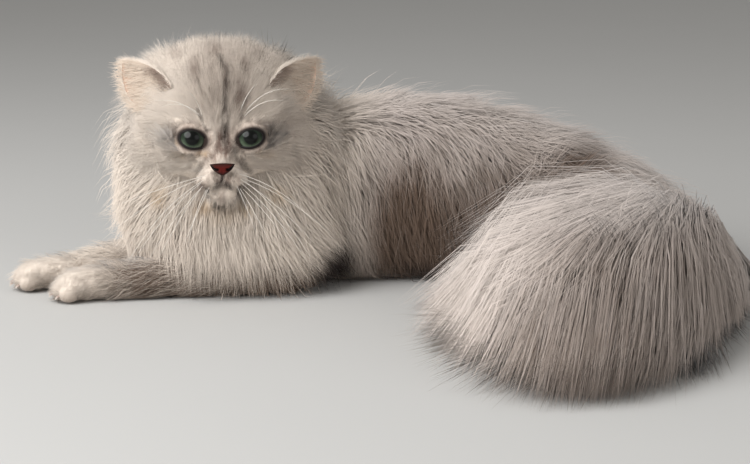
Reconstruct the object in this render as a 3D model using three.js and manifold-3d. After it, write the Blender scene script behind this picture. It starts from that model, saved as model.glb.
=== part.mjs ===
// A long-haired persian cat, lying down with both forelegs stretched out and its face turned to the viewer.
// Millimetres, +Z up, floor at z = 0. The body runs along X, chest at -X, rump at +X. The face looks along -Y.
// Names with _left and _right are the cat's own left and right.
import * as THREE from "three";
import { mergeVertices } from "three/addons/utils/BufferGeometryUtils.js";
import Module from "manifold-3d";

const wasm = await Module();
wasm.setup();
const { Manifold, Mesh: Triangles } = wasm;

const v = (x, y, z) => new THREE.Vector3(x, y, z);
const UP = v(0, 0, 1);

// Driving dimensions, in millimetres and radians.
const GAP = 0.3; // clearance between touching sub-parts
const WELD = 0.05; // edges shorter than this are welded in a join
const SINK = 9; // how far the root of a lock lies inside the core that it grows from
const CLEAR = 4; // how near a lock may come to a form that it goes round
const UNDERSIDE = 0.95; // how far below the middle of a limb or the body its coat reaches, in radians

const HEAD_AT = v(-115, -48, 128);
const HEAD_YAW = THREE.MathUtils.degToRad(6);
const HEAD_PITCH = THREE.MathUtils.degToRad(-5);
const SKULL = { wide: 59, front: 42, back: 47, high: 61, low: 50 };
const EYE_RADIUS = 12;
const EYE_AT = { x: 21, y: -31.5, z: -10 };
const EYE_OPENING = { wide: 10.6, high: 7.7, tilt: 0.1 };
const LID_THICK = 1.7;
const NOSE_AT = v(0, -49.5, -30);
const MOUTH_Z = -48;
const EAR_ROOT = v(47, 0, 24);
const EAR_TIP = v(71, 2, 47);

const RUFF = { at: v(-112, -17, 83), radii: v(74, 58, 81), square: 3.1 };
const BODY_MIDDLE_Y = 30;

// Locks, in millimetres: their length, width and thickness, how far the tips rise from the core, the distance
// between two rows and between two locks of a row.
const RUFF_LOCK = { long: 66, wide: 42, thick: 11, rise: 21, rows: 33, apart: 37 };
const BODY_LOCK = { long: 80, wide: 52, thick: 12, rise: 14, rows: 52, apart: 44 };
const LEG_LOCK = { long: 34, wide: 17, thick: 6, rise: 7, rows: 27, apart: 15 };
const TAIL_LOCK = { long: 124, wide: 42, thick: 10, rows: 28, apart: 32 };
const SHORTER = [1, 0.8, 0.6, 0.45]; // shares of its length that a lock is tried at, to clear other forms

// A seeded draw, so that the coat comes out alike every time.
let seed = 20240;
function draw(low, high) {
  seed = (seed * 1664525 + 1013904223) % 4294967296;
  return low + ((high - low) * seed) / 4294967296;
}

// Moves every vertex out until each face beside it lies at least grow further out, sharp edges included.
function swell(place, index, grow) {
  const beside = Array.from({ length: place.count }, () => []);
  for (let i = 0; i < index.count; i += 3) {
    const corners = [index.getX(i), index.getX(i + 1), index.getX(i + 2)];
    const [a, b, c] = corners.map((k) => new THREE.Vector3().fromBufferAttribute(place, k));
    const normal = b.sub(a).cross(c.sub(a)).normalize();
    for (const k of corners) beside[k].push(normal);
  }
  beside.forEach((normals, k) => {
    const shift = v(0, 0, 0);
    for (let pass = 0; pass < 40; pass++) {
      for (const n of normals) shift.addScaledVector(n, Math.max(0, grow - shift.dot(n)));
    }
    shift.clampLength(0, 12 * grow);
    place.setXYZ(k, place.getX(k) + shift.x, place.getY(k) + shift.y, place.getZ(k) + shift.z);
  });
}

// A closed geometry as a solid, its surface moved out by grow.
function solid(geometry, grow = 0) {
  const bare = new THREE.BufferGeometry().setAttribute("position", geometry.getAttribute("position").clone());
  if (geometry.index) bare.setIndex(geometry.index);
  const welded = mergeVertices(bare, 1e-3);
  const place = welded.getAttribute("position");
  if (grow) swell(place, welded.index, grow);
  return new Manifold(
    new Triangles({
      numProp: 3,
      vertProperties: new Float32Array(place.array),
      triVerts: new Uint32Array(welded.index.array),
      tolerance: WELD,
    }),
  );
}

// A piece is a function from a clearance to a solid, so that a neighbour can be cut clear of it.
const piece = (geometry) => (grow) => solid(geometry, grow);
const fuse = (pieces, grow = 0) => Manifold.union(pieces.map((p) => p(grow)));

// Moves each vertex of a geometry to where move(point, u, v) says.
function bent(geometry, move) {
  const place = geometry.getAttribute("position");
  const uv = geometry.getAttribute("uv");
  for (let i = 0; i < place.count; i++) {
    const to = move(new THREE.Vector3().fromBufferAttribute(place, i), uv.getX(i), uv.getY(i));
    place.setXYZ(i, to.x, to.y, to.z);
  }
  return geometry;
}

function ellipsoid(at, radii, around = 16, rings = 10) {
  const ball = new THREE.SphereGeometry(1, around, rings);
  return ball.applyMatrix4(new THREE.Matrix4().compose(at, new THREE.Quaternion(), radii));
}

// The torso, a limb or the tail: an oval tube along a smooth line of stations, rounded at both ends.
class Tube {
  constructor(stations, blunt = 6, square = 0.88) {
    this.line = new THREE.CatmullRomCurve3(stations.map((s) => v(...s.at)));
    this.size = new THREE.CatmullRomCurve3(stations.map((s) => v(s.wide, s.high, 0)));
    this.blunt = blunt;
    this.square = square;
  }
  frame(t) {
    const along = this.line.getTangent(t);
    const side = new THREE.Vector3().crossVectors(UP, along).normalize();
    return { at: this.line.getPoint(t), along, side, up: new THREE.Vector3().crossVectors(along, side) };
  }
  point(t, angle, grow = 0) {
    const f = this.frame(t);
    const size = this.size.getPoint(t);
    const round = Math.sqrt(Math.max(0, 1 - Math.abs(2 * t - 1) ** this.blunt));
    const [c, s] = [Math.cos(angle), Math.sin(angle)];
    const end = grow * (2 * t - 1) ** 5;
    return f.at
      .addScaledVector(f.side, Math.sign(c) * Math.abs(c) ** this.square * (size.x + grow) * round)
      .addScaledVector(f.up, Math.sign(s) * Math.abs(s) ** this.square * (size.y + grow) * round)
      .addScaledVector(f.along, end);
  }
  // The way out of the surface.
  outward(t, angle) {
    const step = 0.01;
    const at = this.point(t, angle);
    const along = this.point(t + step, angle).sub(at);
    const round = this.point(t, angle + step).sub(at);
    return round.cross(along).normalize();
  }
  geometry(around, rings, grow = 0) {
    return bent(new THREE.SphereGeometry(1, around, rings), (p) =>
      this.point((1 - p.y) / 2, Math.atan2(p.z, p.x), grow),
    );
  }
  // Whether a point lies inside the surface moved out by grow.
  holds(point, grow = 0) {
    const steps = 48;
    const away = (t) => this.line.getPoint(t).distanceTo(point);
    let near = 0;
    for (let i = 1; i <= steps; i++) {
      if (away(i / steps) < away(near)) near = i / steps;
    }
    const f = this.frame(near);
    const off = point.clone().sub(f.at);
    const size = this.size.getPoint(near);
    const across = Math.abs(off.dot(f.side)) / (size.x + grow);
    const high = Math.abs(off.dot(f.up)) / (size.y + grow);
    const power = 2 / this.square;
    const beside = Math.abs(off.dot(f.along)) < grow + this.line.getLength() / steps;
    return beside && across ** power + high ** power < 1;
  }
}

// A lock: a flat tapered strand, three-sided with the ridge outwards. Its course gives, from 0 at the root to
// 1 at the tip, the place and the way out of the coat there.
function lock(course, { wide, thick }) {
  return bent(new THREE.ConeGeometry(1, 1, 3, 3), (p) => {
    const s = p.y + 0.5;
    const round = s > 0.99 ? 0 : 1 / (1 - s);
    const { at, out } = course(s);
    const along = course(Math.min(1, s + 0.05)).at.sub(course(Math.max(0, s - 0.05)).at).normalize();
    const side = new THREE.Vector3().crossVectors(along, out).normalize();
    const over = new THREE.Vector3().crossVectors(side, along);
    const broad = (wide / 2) * (0.8 + 0.9 * s) * (1 - s ** 2.5);
    const deep = (thick / 2) * (1 - 0.6 * s);
    at.z = Math.max(at.z, deep / 2);
    return at.addScaledVector(side, p.x * round * broad).addScaledVector(over, p.z * round * deep);
  });
}

// A lock's rise out of the core, from its sunk root to its tip.
const lift = (s, rise) => -SINK + (rise + SINK) * Math.sin((s * Math.PI) / 2);

// The longest of the locks along route(share) whose outer half stays clear of some forms, or none.
function clearLock(route, { wide, thick }, forms) {
  const free = (course) => !forms.some((form) => [0.4, 0.7, 1].some((s) => form.holds(course(s).at, CLEAR)));
  const share = SHORTER.find((some) => free(route(some)));
  return share ? [piece(lock(route(share), { wide: wide * (0.4 + 0.6 * share), thick }))] : [];
}

// Rows of locks over a tube from t = from to t = to, on the angles between low and high. They lie towards the
// tube's far end and fall to the sides. Those that would enter one of the forms named in avoid are left out.
function tubeLocks(tube, kind, { from, to, low, high, avoid = [] }) {
  const length = tube.line.getLength();
  const made = [];
  const rows = Math.max(2, Math.round(((to - from) * length) / kind.rows) + 1);
  for (let row = 0; row < rows; row++) {
    const t = from + ((to - from) * row) / (rows - 1);
    const size = tube.size.getPoint(t);
    const radius = (size.x + size.y) / 2;
    const count = Math.max(2, Math.round(((high - low) * radius) / kind.apart));
    for (let n = 0; n < count; n++) {
      const angle = low + ((high - low) * (n + (row % 2 ? 0.75 : 0.25) + draw(-0.12, 0.12))) / count;
      const long = kind.long * draw(0.88, 1.1);
      const fall = 0.78 * Math.cos(angle);
      const ahead = Math.min((long * Math.sqrt(1 - fall ** 2)) / length, 0.985 - t);
      const rise = kind.rise * draw(0.8, 1.1);
      const start = t + draw(-0.2, 0.2) * (kind.rows / length);
      const turn = (-fall * long) / radius;
      const route = (share) => (s) => {
        const onTube = start + ahead * s * share;
        const around = THREE.MathUtils.clamp(angle + turn * s * share, -UNDERSIDE, Math.PI + UNDERSIDE);
        return { at: tube.point(onTube, around, lift(s, rise)), out: tube.outward(onTube, around) };
      };
      made.push(...clearLock(route, kind, avoid));
    }
  }
  return made;
}

// Everything on one side of a plane, as a large block whose face lies shift further on.
function beyond(at, way, shift = 0) {
  const block = new THREE.BoxGeometry(900, 900, 900).translate(0, 0, 450 + shift);
  const turn = new THREE.Quaternion().setFromUnitVectors(UP, way.clone().normalize());
  return solid(block.applyMatrix4(new THREE.Matrix4().compose(at, turn, v(1, 1, 1))));
}
const floor = beyond(v(0, 0, 0), v(0, 0, -1));

// Sub-parts, each cut clear of those made before it that it names.
const group = new THREE.Group();
const clearance = {};
function subpart(name, finish, pieces, clearOf = [], cuts = []) {
  let body = fuse(pieces).subtract(floor);
  for (const other of clearOf) body = body.subtract(clearance[other]);
  for (const cut of cuts) body = body.subtract(cut);
  const largest = body.decompose().sort((a, b) => b.volume() - a.volume())[0];
  clearance[name] = fuse(pieces, GAP);
  const mesh = largest.getMesh();
  const geometry = new THREE.BufferGeometry()
    .setAttribute("position", new THREE.BufferAttribute(mesh.vertProperties, 3))
    .setIndex(new THREE.BufferAttribute(mesh.triVerts, 1));
  const made = new THREE.Mesh(geometry, finish);
  made.name = name;
  group.add(made);
}

const finish = (color, roughness) => new THREE.MeshStandardMaterial({ color, roughness, metalness: 0 });
const silver = finish(0xcfc5bb, 0.9);
const cream = finish(0xe6ddd2, 0.9);
const earSkin = finish(0xd9b9a4, 0.8);
const brick = finish(0x9a3b2c, 0.5);
const iris = finish(0x3f6b52, 0.1);

// Head frame: x to the viewer's right, -y out of the face, z up.
const headPlace = new THREE.Matrix4().compose(
  HEAD_AT,
  new THREE.Quaternion().setFromEuler(new THREE.Euler(HEAD_PITCH, 0, HEAD_YAW, "ZXY")),
  v(1, 1, 1),
);
const onHead = (geometry) => geometry.applyMatrix4(headPlace);

// Swellings of the skull: which way from its centre, how wide in radians and how high.
const SWELLINGS = [
  { way: v(0.78, -0.45, -0.44), spread: 0.5, height: 5, paired: true }, // cheeks
  { way: v(0, -0.8, -0.6), spread: 0.38, height: 8 }, // muzzle
  { way: v(0, -0.75, 0.66), spread: 0.5, height: 3 }, // domed forehead
];

function skullGeometry() {
  // The rings lie round the face and are closest there.
  const ball = new THREE.SphereGeometry(1, 30, 19);
  return bent(ball, (vertex, _, height) => {
    const ring = Math.PI * height ** 1.35;
    const turn = Math.atan2(vertex.z, vertex.x);
    const way = v(Math.sin(ring) * Math.cos(turn), -Math.cos(ring), Math.sin(ring) * Math.sin(turn));
    const deep = way.y < 0 ? SKULL.front : SKULL.back;
    const tall = way.z > 0 ? SKULL.high : SKULL.low;
    let reach = 1 / Math.hypot(way.x / SKULL.wide, way.y / deep, way.z / tall);
    for (const s of SWELLINGS) {
      const sides = s.paired ? [1, -1] : [1];
      for (const side of sides) {
        const angle = way.angleTo(v(s.way.x * side, s.way.y, s.way.z));
        reach += s.height * Math.exp(-((angle / s.spread) ** 2));
      }
    }
    return way.multiplyScalar(reach);
  });
}

// The rim of the lids: an oval ring that lies on the eyeball.
function lidGeometry(side) {
  const { wide, high, tilt } = EYE_OPENING;
  return bent(new THREE.TorusGeometry(1, 0.2, 4, 18), (_, u, w) => {
    const [turn, round] = [2 * Math.PI * u, 2 * Math.PI * w];
    const across = v(Math.cos(turn) * wide, 0, Math.sin(turn) * high);
    const forward = Math.sqrt(EYE_RADIUS ** 2 - across.lengthSq());
    const outward = across.clone().normalize();
    const rim = across
      .addScaledVector(outward, LID_THICK * Math.cos(round))
      .add(v(0, -forward - LID_THICK * Math.sin(round), 0));
    rim.applyAxisAngle(v(0, 1, 0), -side * tilt);
    return rim.add(v(side * EYE_AT.x, EYE_AT.y, EYE_AT.z));
  });
}

// A groove tool: a slim round bar along a curve.
function bar(points, radius) {
  const round = new THREE.Shape().absarc(0, 0, radius, 0, 2 * Math.PI);
  const path = new THREE.CatmullRomCurve3(points);
  return new THREE.ExtrudeGeometry(round, { extrudePath: path, steps: 6, curveSegments: 2 });
}

function eyeball(side) {
  const radii = v(EYE_RADIUS, EYE_RADIUS, EYE_RADIUS);
  return onHead(ellipsoid(v(side * EYE_AT.x, EYE_AT.y, EYE_AT.z), radii, 14, 10));
}
subpart("eye_left", iris, [piece(eyeball(1))]);
subpart("eye_right", iris, [piece(eyeball(-1))]);

// Nose leather: a rounded triangle, point down, with two comma-shaped nostrils.
function noseLeather() {
  const [halfWide, high] = [8, 10];
  const outline = new THREE.Shape();
  outline.moveTo(-halfWide, high * 0.45);
  outline.quadraticCurveTo(0, high * 0.6, halfWide, high * 0.45);
  outline.quadraticCurveTo(halfWide * 0.85, -high * 0.1, 1, -high * 0.5);
  outline.quadraticCurveTo(0, -high * 0.56, -1, -high * 0.5);
  outline.quadraticCurveTo(-halfWide * 0.85, -high * 0.1, -halfWide, high * 0.45);
  const form = new THREE.ExtrudeGeometry(outline, {
    depth: 3,
    bevelThickness: 1.6,
    bevelSize: 1.1,
    bevelSegments: 1,
    curveSegments: 2,
  });
  return onHead(form.rotateX(Math.PI / 2).translate(NOSE_AT.x, NOSE_AT.y, NOSE_AT.z));
}
function nostril(side) {
  const at = NOSE_AT.clone().add(v(side * 4.6, 0, 0));
  return solid(onHead(bar([
    at.clone().add(v(-side * 1.2, -2.6, 0.4)),
    at.clone().add(v(side * 1.2, -2.4, 0.6)),
    at.clone().add(v(side * 3.2, -2.2, 2.4)),
  ], 1.1)));
}
subpart("nose", brick, [piece(noseLeather())], [], [nostril(1), nostril(-1)]);

const headPieces = [
  skullGeometry(),
  lidGeometry(1),
  lidGeometry(-1),
  ellipsoid(v(0, -40.5, -25), v(9, 8.5, 11), 12, 8), // bridge of the nose
  ellipsoid(v(8.6, -42, -40), v(11.5, 9.5, 10), 12, 8), // whisker pads
  ellipsoid(v(-8.6, -42, -40), v(11.5, 9.5, 10), 12, 8),
  ellipsoid(v(0, -38, -54), v(12.5, 9.5, 8.5), 12, 8), // chin
].map((g) => piece(onHead(g)));

// The line of the mouth: down from the nose, then out and down along both lips.
const lips = [-1, 1].map((side) =>
  solid(onHead(bar([
    v(0, -52, MOUTH_Z + 2.5),
    v(side * 5, -51.5, MOUTH_Z),
    v(side * 11, -48, MOUTH_Z - 1),
    v(side * 16, -43, MOUTH_Z - 4),
  ], 0.9))),
);
const philtrum = solid(onHead(bar([v(0, -52, -34), v(0, -53, -40), v(0, -52, MOUTH_Z + 3)], 0.9)));
subpart("head", cream, headPieces, ["eye_left", "eye_right", "nose"], [...lips, philtrum]);

// Ears: small rounded cups, set low and wide, tips tilted forward.
function ear(side) {
  const root = v(EAR_ROOT.x * side, EAR_ROOT.y, EAR_ROOT.z);
  const axis = v(EAR_TIP.x * side, EAR_TIP.y, EAR_TIP.z).sub(root);
  const long = axis.length() / 2 + 2;
  axis.normalize();
  const open = v(-0.15 * side, -1, -0.1).projectOnPlane(axis).normalize();
  const across = new THREE.Vector3().crossVectors(axis, open);
  const middle = root.clone().addScaledVector(axis, long - 2);
  const cup = (scale, forward) =>
    bent(new THREE.SphereGeometry(1, 14, 9), (p) => {
      const narrow = 0.83 - 0.33 * p.y;
      return middle.clone()
        .addScaledVector(across, p.x * 17 * narrow * scale)
        .addScaledVector(open, p.z * 9 * scale + forward)
        .addScaledVector(axis, p.y * long * scale);
    });
  return { outer: onHead(cup(1, 0)), inner: solid(onHead(cup(0.86, 5))) };
}
for (const [name, side] of [["ear_left", 1], ["ear_right", -1]]) {
  const { outer, inner } = ear(side);
  subpart(name, earSkin, [piece(outer)], ["head"], [inner]);
}

// Paws: a palm and four toes, on the floor.
function paw(palm, toe, toeAt, facing) {
  const turn = new THREE.Quaternion().setFromAxisAngle(UP, facing);
  const toes = [-1.5, -0.5, 0.5, 1.5].map((n) => {
    const back = Math.abs(n) > 1 ? toe.x * 0.5 : 0;
    const offset = v(back, n * toe.y * 1.45, 0).applyQuaternion(turn);
    const ball = ellipsoid(v(0, 0, 0), toe, 7, 5).applyQuaternion(turn);
    return ball.translate(toeAt.x + offset.x, toeAt.y + offset.y, toe.z - 1);
  });
  return [palm.geometry(10, 7), ...toes].map(piece);
}
const FORE_TOE = v(9, 5.6, 8);
const HIND_TOE = v(9, 5.2, 7.5);
const forepawPalm = (wrist, ball) =>
  new Tube([
    { at: wrist, wide: 13, high: 13 },
    { at: [(wrist[0] + ball[0]) / 2, (wrist[1] + ball[1]) / 2, 12], wide: 15, high: 13.5 },
    { at: ball, wide: 16, high: 12 },
  ], 4);
const leftPalm = forepawPalm([-188, -76, 12.5], [-236, -86, 10]);
const rightPalm = forepawPalm([-222, -40, 13], [-272, -52, 10]);
subpart("forepaw_left", cream, paw(leftPalm, FORE_TOE, v(-231, -85, 0), 0.2));
subpart("forepaw_right", cream, paw(rightPalm, FORE_TOE, v(-267, -51, 0), 0.2), ["forepaw_left"]);

// Forelegs: elbow to wrist, level on the floor.
const leftForearm = new Tube([
  { at: [-40, -40, 22], wide: 19, high: 23 },
  { at: [-95, -55, 17], wide: 18, high: 18 },
  { at: [-150, -67, 13.5], wide: 16, high: 14.5 },
  { at: [-208, -80, 12], wide: 14.5, high: 13 },
]);
const rightForearm = new Tube([
  { at: [-60, 34, 26], wide: 20, high: 27 },
  { at: [-125, 8, 20], wide: 19, high: 21 },
  { at: [-185, -20, 15.5], wide: 17, high: 17 },
  { at: [-240, -45, 12.5], wide: 15, high: 13.5 },
]);
const elbowFringe = { from: 0.06, to: 0.6, low: -0.55, high: 0.75 };
const fringe = tubeLocks(leftForearm, LEG_LOCK, elbowFringe);
subpart("foreleg_left", cream, [piece(leftForearm.geometry(12, 9)), ...fringe],
  ["forepaw_left", "forepaw_right"]);
subpart("foreleg_right", cream, [piece(rightForearm.geometry(12, 9))],
  ["forepaw_left", "forepaw_right", "foreleg_left"]);

// Neck and ruff: a squarish ball round the lower half of the head. Its directions are given by the ring round
// the face's axis, 0 in front and pi behind, and by the turn from the viewer's right, anticlockwise.
const ruffWay = (ring, turn) =>
  v(Math.sin(ring) * Math.cos(turn), -Math.cos(ring), Math.sin(ring) * Math.sin(turn));
function ruffPoint(way, grow = 0) {
  const { at, radii, square } = RUFF;
  const reach = (Math.abs(way.x / radii.x) ** square + Math.abs(way.y / radii.y) ** square
    + Math.abs(way.z / radii.z) ** square) ** (-1 / square);
  return at.clone().addScaledVector(way, reach + grow);
}
const ruffCore = {
  geometry: () => bent(new THREE.SphereGeometry(1, 20, 14), (p) => ruffPoint(p.clone().normalize())),
  holds: (point, grow) => {
    const off = point.clone().sub(RUFF.at);
    return off.length() < ruffPoint(off.clone().normalize(), grow).distanceTo(RUFF.at);
  },
};
const headForm = {
  holds: (point, grow) => {
    const off = point.clone().applyMatrix4(headPlace.clone().invert());
    const deep = off.y < 0 ? SKULL.front : SKULL.back;
    return Math.hypot(off.x / (SKULL.wide + grow), off.y / (deep + grow), off.z / (SKULL.high + grow)) < 1;
  },
};

// The torso, chest to rump.
const torso = new Tube([
  { at: [-95, 8, 55], wide: 38, high: 50 },
  { at: [-50, 12, 62], wide: 52, high: 64 },
  { at: [10, 18, 66.5], wide: 57, high: 68.5 },
  { at: [70, 22, 63.5], wide: 60, high: 65.5 },
  { at: [130, 27, 53.5], wide: 62, high: 55.5 },
  { at: [190, 32, 41], wide: 56, high: 42.5 },
  { at: [262, 30, 25], wide: 34, high: 25 },
]);

// The ruff's locks run away from the face and fall to the sides, and those of the bib hang straight down.
function ruffLocks() {
  const made = [];
  const radius = (RUFF.radii.x + RUFF.radii.z) / 2;
  for (let ring = 0.24; ring < 2.2; ring += RUFF_LOCK.rows / radius) {
    const count = Math.round((2 * Math.PI * Math.sin(ring) * radius) / RUFF_LOCK.apart);
    for (let n = 0; n < count; n++) {
      const turn = (2 * Math.PI * (n + draw(-0.2, 0.2))) / count + ring * 2.4;
      const long = RUFF_LOCK.long * draw(0.85, 1.1);
      const rise = RUFF_LOCK.rise * draw(0.7, 1.1);
      const fall = 0.6 * Math.cos(turn);
      const ahead = (long / radius) * (1 - 0.3 * Math.abs(fall));
      const route = (share) => (s) => {
        const way = ruffWay(ring + ahead * s * share, turn - fall * s * share);
        return { at: ruffPoint(way, lift(s, rise)), out: way };
      };
      made.push(...clearLock(route, RUFF_LOCK, [headForm, torso, leftForearm, rightForearm]));
    }
  }
  return made;
}
subpart("neck_ruff", cream, [piece(ruffCore.geometry()), ...ruffLocks()],
  ["head", "nose", "eye_left", "eye_right", "ear_left", "ear_right", "foreleg_left", "foreleg_right",
    "forepaw_left", "forepaw_right"]);

// Hind legs, folded beside the rump.
const haunch = (side) => {
  const y = (off) => BODY_MIDDLE_Y + side * off;
  return new Tube([
    { at: [92, y(76), 25], wide: 17, high: 26 },
    { at: [150, y(66), 41], wide: 25, high: 42.5 },
    { at: [208, y(40), 38], wide: 26, high: 38 },
  ], 4);
};
const hindFoot = (side) => {
  const y = (off) => BODY_MIDDLE_Y + side * off;
  return new Tube([
    { at: [165, y(84), 12], wide: 12, high: 13 },
    { at: [120, y(92), 12], wide: 12.5, high: 13 },
    { at: [80, y(96), 10], wide: 15, high: 11.5 },
  ], 4);
};
const haunches = [haunch(-1), haunch(1)];
const feet = [hindFoot(-1), hindFoot(1)];

// Coat over the back and flanks, on angles that leave the belly bare where it rests on the floor.
const overBack = { from: 0.2, to: 0.84, low: -0.4, high: Math.PI + 0.4 };
const bodyCoat = tubeLocks(torso, BODY_LOCK, { ...overBack, avoid: [ruffCore, ...haunches] });
subpart("torso", silver, [piece(torso.geometry(18, 14)), ...bodyCoat],
  ["neck_ruff", "head", "foreleg_left", "foreleg_right"]);

const outerSide = { left: { low: 1.2, high: Math.PI + 0.4 }, right: { low: -0.4, high: Math.PI - 1.2 } };
[["left", -1], ["right", 1]].forEach(([name, side], i) => {
  const toesAt = v(85, BODY_MIDDLE_Y + side * 96, 0);
  const where = { from: 0.12, to: 0.7, ...outerSide[name], avoid: [torso] };
  const thigh = [piece(haunches[i].geometry(16, 10)), ...tubeLocks(haunches[i], BODY_LOCK, where)];
  subpart("hindpaw_" + name, cream, paw(feet[i], HIND_TOE, toesAt, 0.08 * side), ["torso"]);
  subpart("hindleg_" + name, silver, thigh, ["torso", "hindpaw_" + name]);
});

// Tail: out from the rump, round towards the viewer and along the floor.
const tail = new Tube([
  { at: [222, 28, 38], wide: 20, high: 22 },
  { at: [238, -20, 34], wide: 27, high: 31 },
  { at: [228, -78, 34], wide: 37, high: 35 },
  { at: [202, -128, 34], wide: 43, high: 35 },
  { at: [165, -172, 31], wide: 41, high: 32 },
  { at: [122, -210, 22], wide: 28, high: 23 },
]);
const TAIL_CUTS = [0.34, 0.64];

// The plume: long locks that leave the tail on every side but the lower one and sweep out to its tip. They
// grow on the length of the tail between from and to, and fall by their own weight.
function tailLocks(from, to) {
  const { long, rows, apart } = TAIL_LOCK;
  const length = tail.line.getLength();
  const made = [];
  const [first, last] = [from + 0.03, to - 0.03];
  const count = Math.round(((last - first) * length) / rows) + 1;
  for (let row = 0; row < count; row++) {
    const t = first + ((last - first) * row) / (count - 1);
    const size = tail.size.getPoint(t);
    const f = tail.frame(t);
    const around = Math.round((4 * (size.x + size.y) / 2) / apart);
    for (let n = 0; n < around; n++) {
      const angle = -0.45 + ((Math.PI + 0.9) * (n + (row % 2 ? 0.7 : 0.3) + draw(-0.15, 0.15))) / around;
      const reach = long * (0.5 + 0.5 * Math.min(1, t / 0.45)) * draw(0.85, 1.08);
      const out = f.side.clone().multiplyScalar(Math.cos(angle)).addScaledVector(f.up, Math.sin(angle));
      const spread = 0.75 * Math.abs(Math.cos(angle)) + 0.22;
      const way = f.along.clone().addScaledVector(out, spread).normalize();
      const root = tail.point(t, angle, -SINK);
      const droop = reach * (0.12 + 0.25 * Math.max(0, Math.sin(angle)));
      const route = (share) => (s) => {
        const gone = s * share;
        const at = root.clone().addScaledVector(way, reach * gone).addScaledVector(UP, -droop * gone ** 2);
        return { at, out };
      };
      made.push(...clearLock(route, TAIL_LOCK, [torso, ...haunches, ...feet]));
    }
  }
  return made;
}
function tailLength(from, to) {
  const core = tail.geometry(16, 18);
  return (grow) => {
    let part = solid(core, grow);
    for (const [t, sign] of [[from, -1], [to, 1]]) {
      if (t === 0 || t === 1) continue;
      const f = tail.frame(t);
      part = part.subtract(beyond(f.at, f.along.multiplyScalar(sign), grow));
    }
    return part;
  };
}
const behindTail = ["torso", "hindleg_left", "hindpaw_left", "hindleg_right"];
const tailLengths = [
  ["tail_base", 0, TAIL_CUTS[0]],
  ["tail_middle", ...TAIL_CUTS],
  ["tail_tip", TAIL_CUTS[1], 1],
];
for (const [name, from, to] of tailLengths) {
  subpart(name, silver, [tailLength(from, to), ...tailLocks(from, to)], behindTail);
  behindTail.push(name);
}

// The origin is on the floor, under the middle of the whole cat.
const reach = new THREE.Box3().setFromObject(group);
group.position.set(-(reach.min.x + reach.max.x) / 2, -(reach.min.y + reach.max.y) / 2, -reach.min.z);

export default group;
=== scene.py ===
"""A long-haired persian cat, lying on its belly, forelegs stretched out and tail laid beside it.

Every shape is worked out in millimetres in the cat's own frame: x along the body from the chest
to the rump, the face looking along -y, z up from the floor. place() takes it to the frame's metres.
"""

import math
from functools import lru_cache, reduce

import bpy
import numpy as np
from bpy.props import FloatProperty, FloatVectorProperty, IntProperty, PointerProperty
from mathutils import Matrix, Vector
from mathutils.bvhtree import BVHTree
from mathutils.kdtree import KDTree


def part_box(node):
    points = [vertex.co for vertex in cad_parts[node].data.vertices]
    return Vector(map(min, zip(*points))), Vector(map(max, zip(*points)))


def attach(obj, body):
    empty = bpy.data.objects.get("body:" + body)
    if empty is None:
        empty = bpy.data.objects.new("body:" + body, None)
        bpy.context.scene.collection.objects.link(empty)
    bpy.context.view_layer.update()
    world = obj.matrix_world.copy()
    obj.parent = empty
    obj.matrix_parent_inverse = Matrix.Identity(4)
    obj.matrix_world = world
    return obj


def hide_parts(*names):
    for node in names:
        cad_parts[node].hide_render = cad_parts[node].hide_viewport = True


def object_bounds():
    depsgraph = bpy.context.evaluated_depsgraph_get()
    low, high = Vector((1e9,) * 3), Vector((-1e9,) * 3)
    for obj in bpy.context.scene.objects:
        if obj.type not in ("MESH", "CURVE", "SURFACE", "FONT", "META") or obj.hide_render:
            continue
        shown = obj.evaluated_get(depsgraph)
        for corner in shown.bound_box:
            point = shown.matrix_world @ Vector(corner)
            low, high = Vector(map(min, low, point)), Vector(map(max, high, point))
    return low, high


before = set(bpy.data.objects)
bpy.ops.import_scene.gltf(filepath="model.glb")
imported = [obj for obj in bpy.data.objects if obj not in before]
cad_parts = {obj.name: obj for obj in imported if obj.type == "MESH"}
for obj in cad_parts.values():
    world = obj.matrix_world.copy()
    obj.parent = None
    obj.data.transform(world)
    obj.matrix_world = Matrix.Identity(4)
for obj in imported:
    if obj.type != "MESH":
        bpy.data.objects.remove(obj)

bl_info = {
    "name": "Persian Cat",
    "version": (1, 0, 0),
    "blender": (4, 5, 0),
    "location": "3D View > Sidebar > Persian Cat",
    "description": "Builds a lying persian cat: its skin, eyes, nose, ears, claws, whiskers and coat",
    "category": "Object",
}

CAD_BOX = [list(corner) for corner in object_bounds()]
BODY = "root"
DOWN = np.array([0.0, 0.0, -1.0])
MM = 1000
SIDES = {"left": 1, "right": -1}
# The coat's most triangles in one piece, and the size of a tuft's patch on the coat's map.
PIECE_TRIANGLES = 199000
PATCH = 0.003
# The lowest that skin and coat lie over the floor, and how deep a tuft's root is in the skin.
SKIN_LOW = 0.6
HAIR_LOW = 0.75
ROOT_DEEP = 0.8
# How far a tuft's markings follow its strand away from its root.
MARKS_FOLLOW = 0.7

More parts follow.
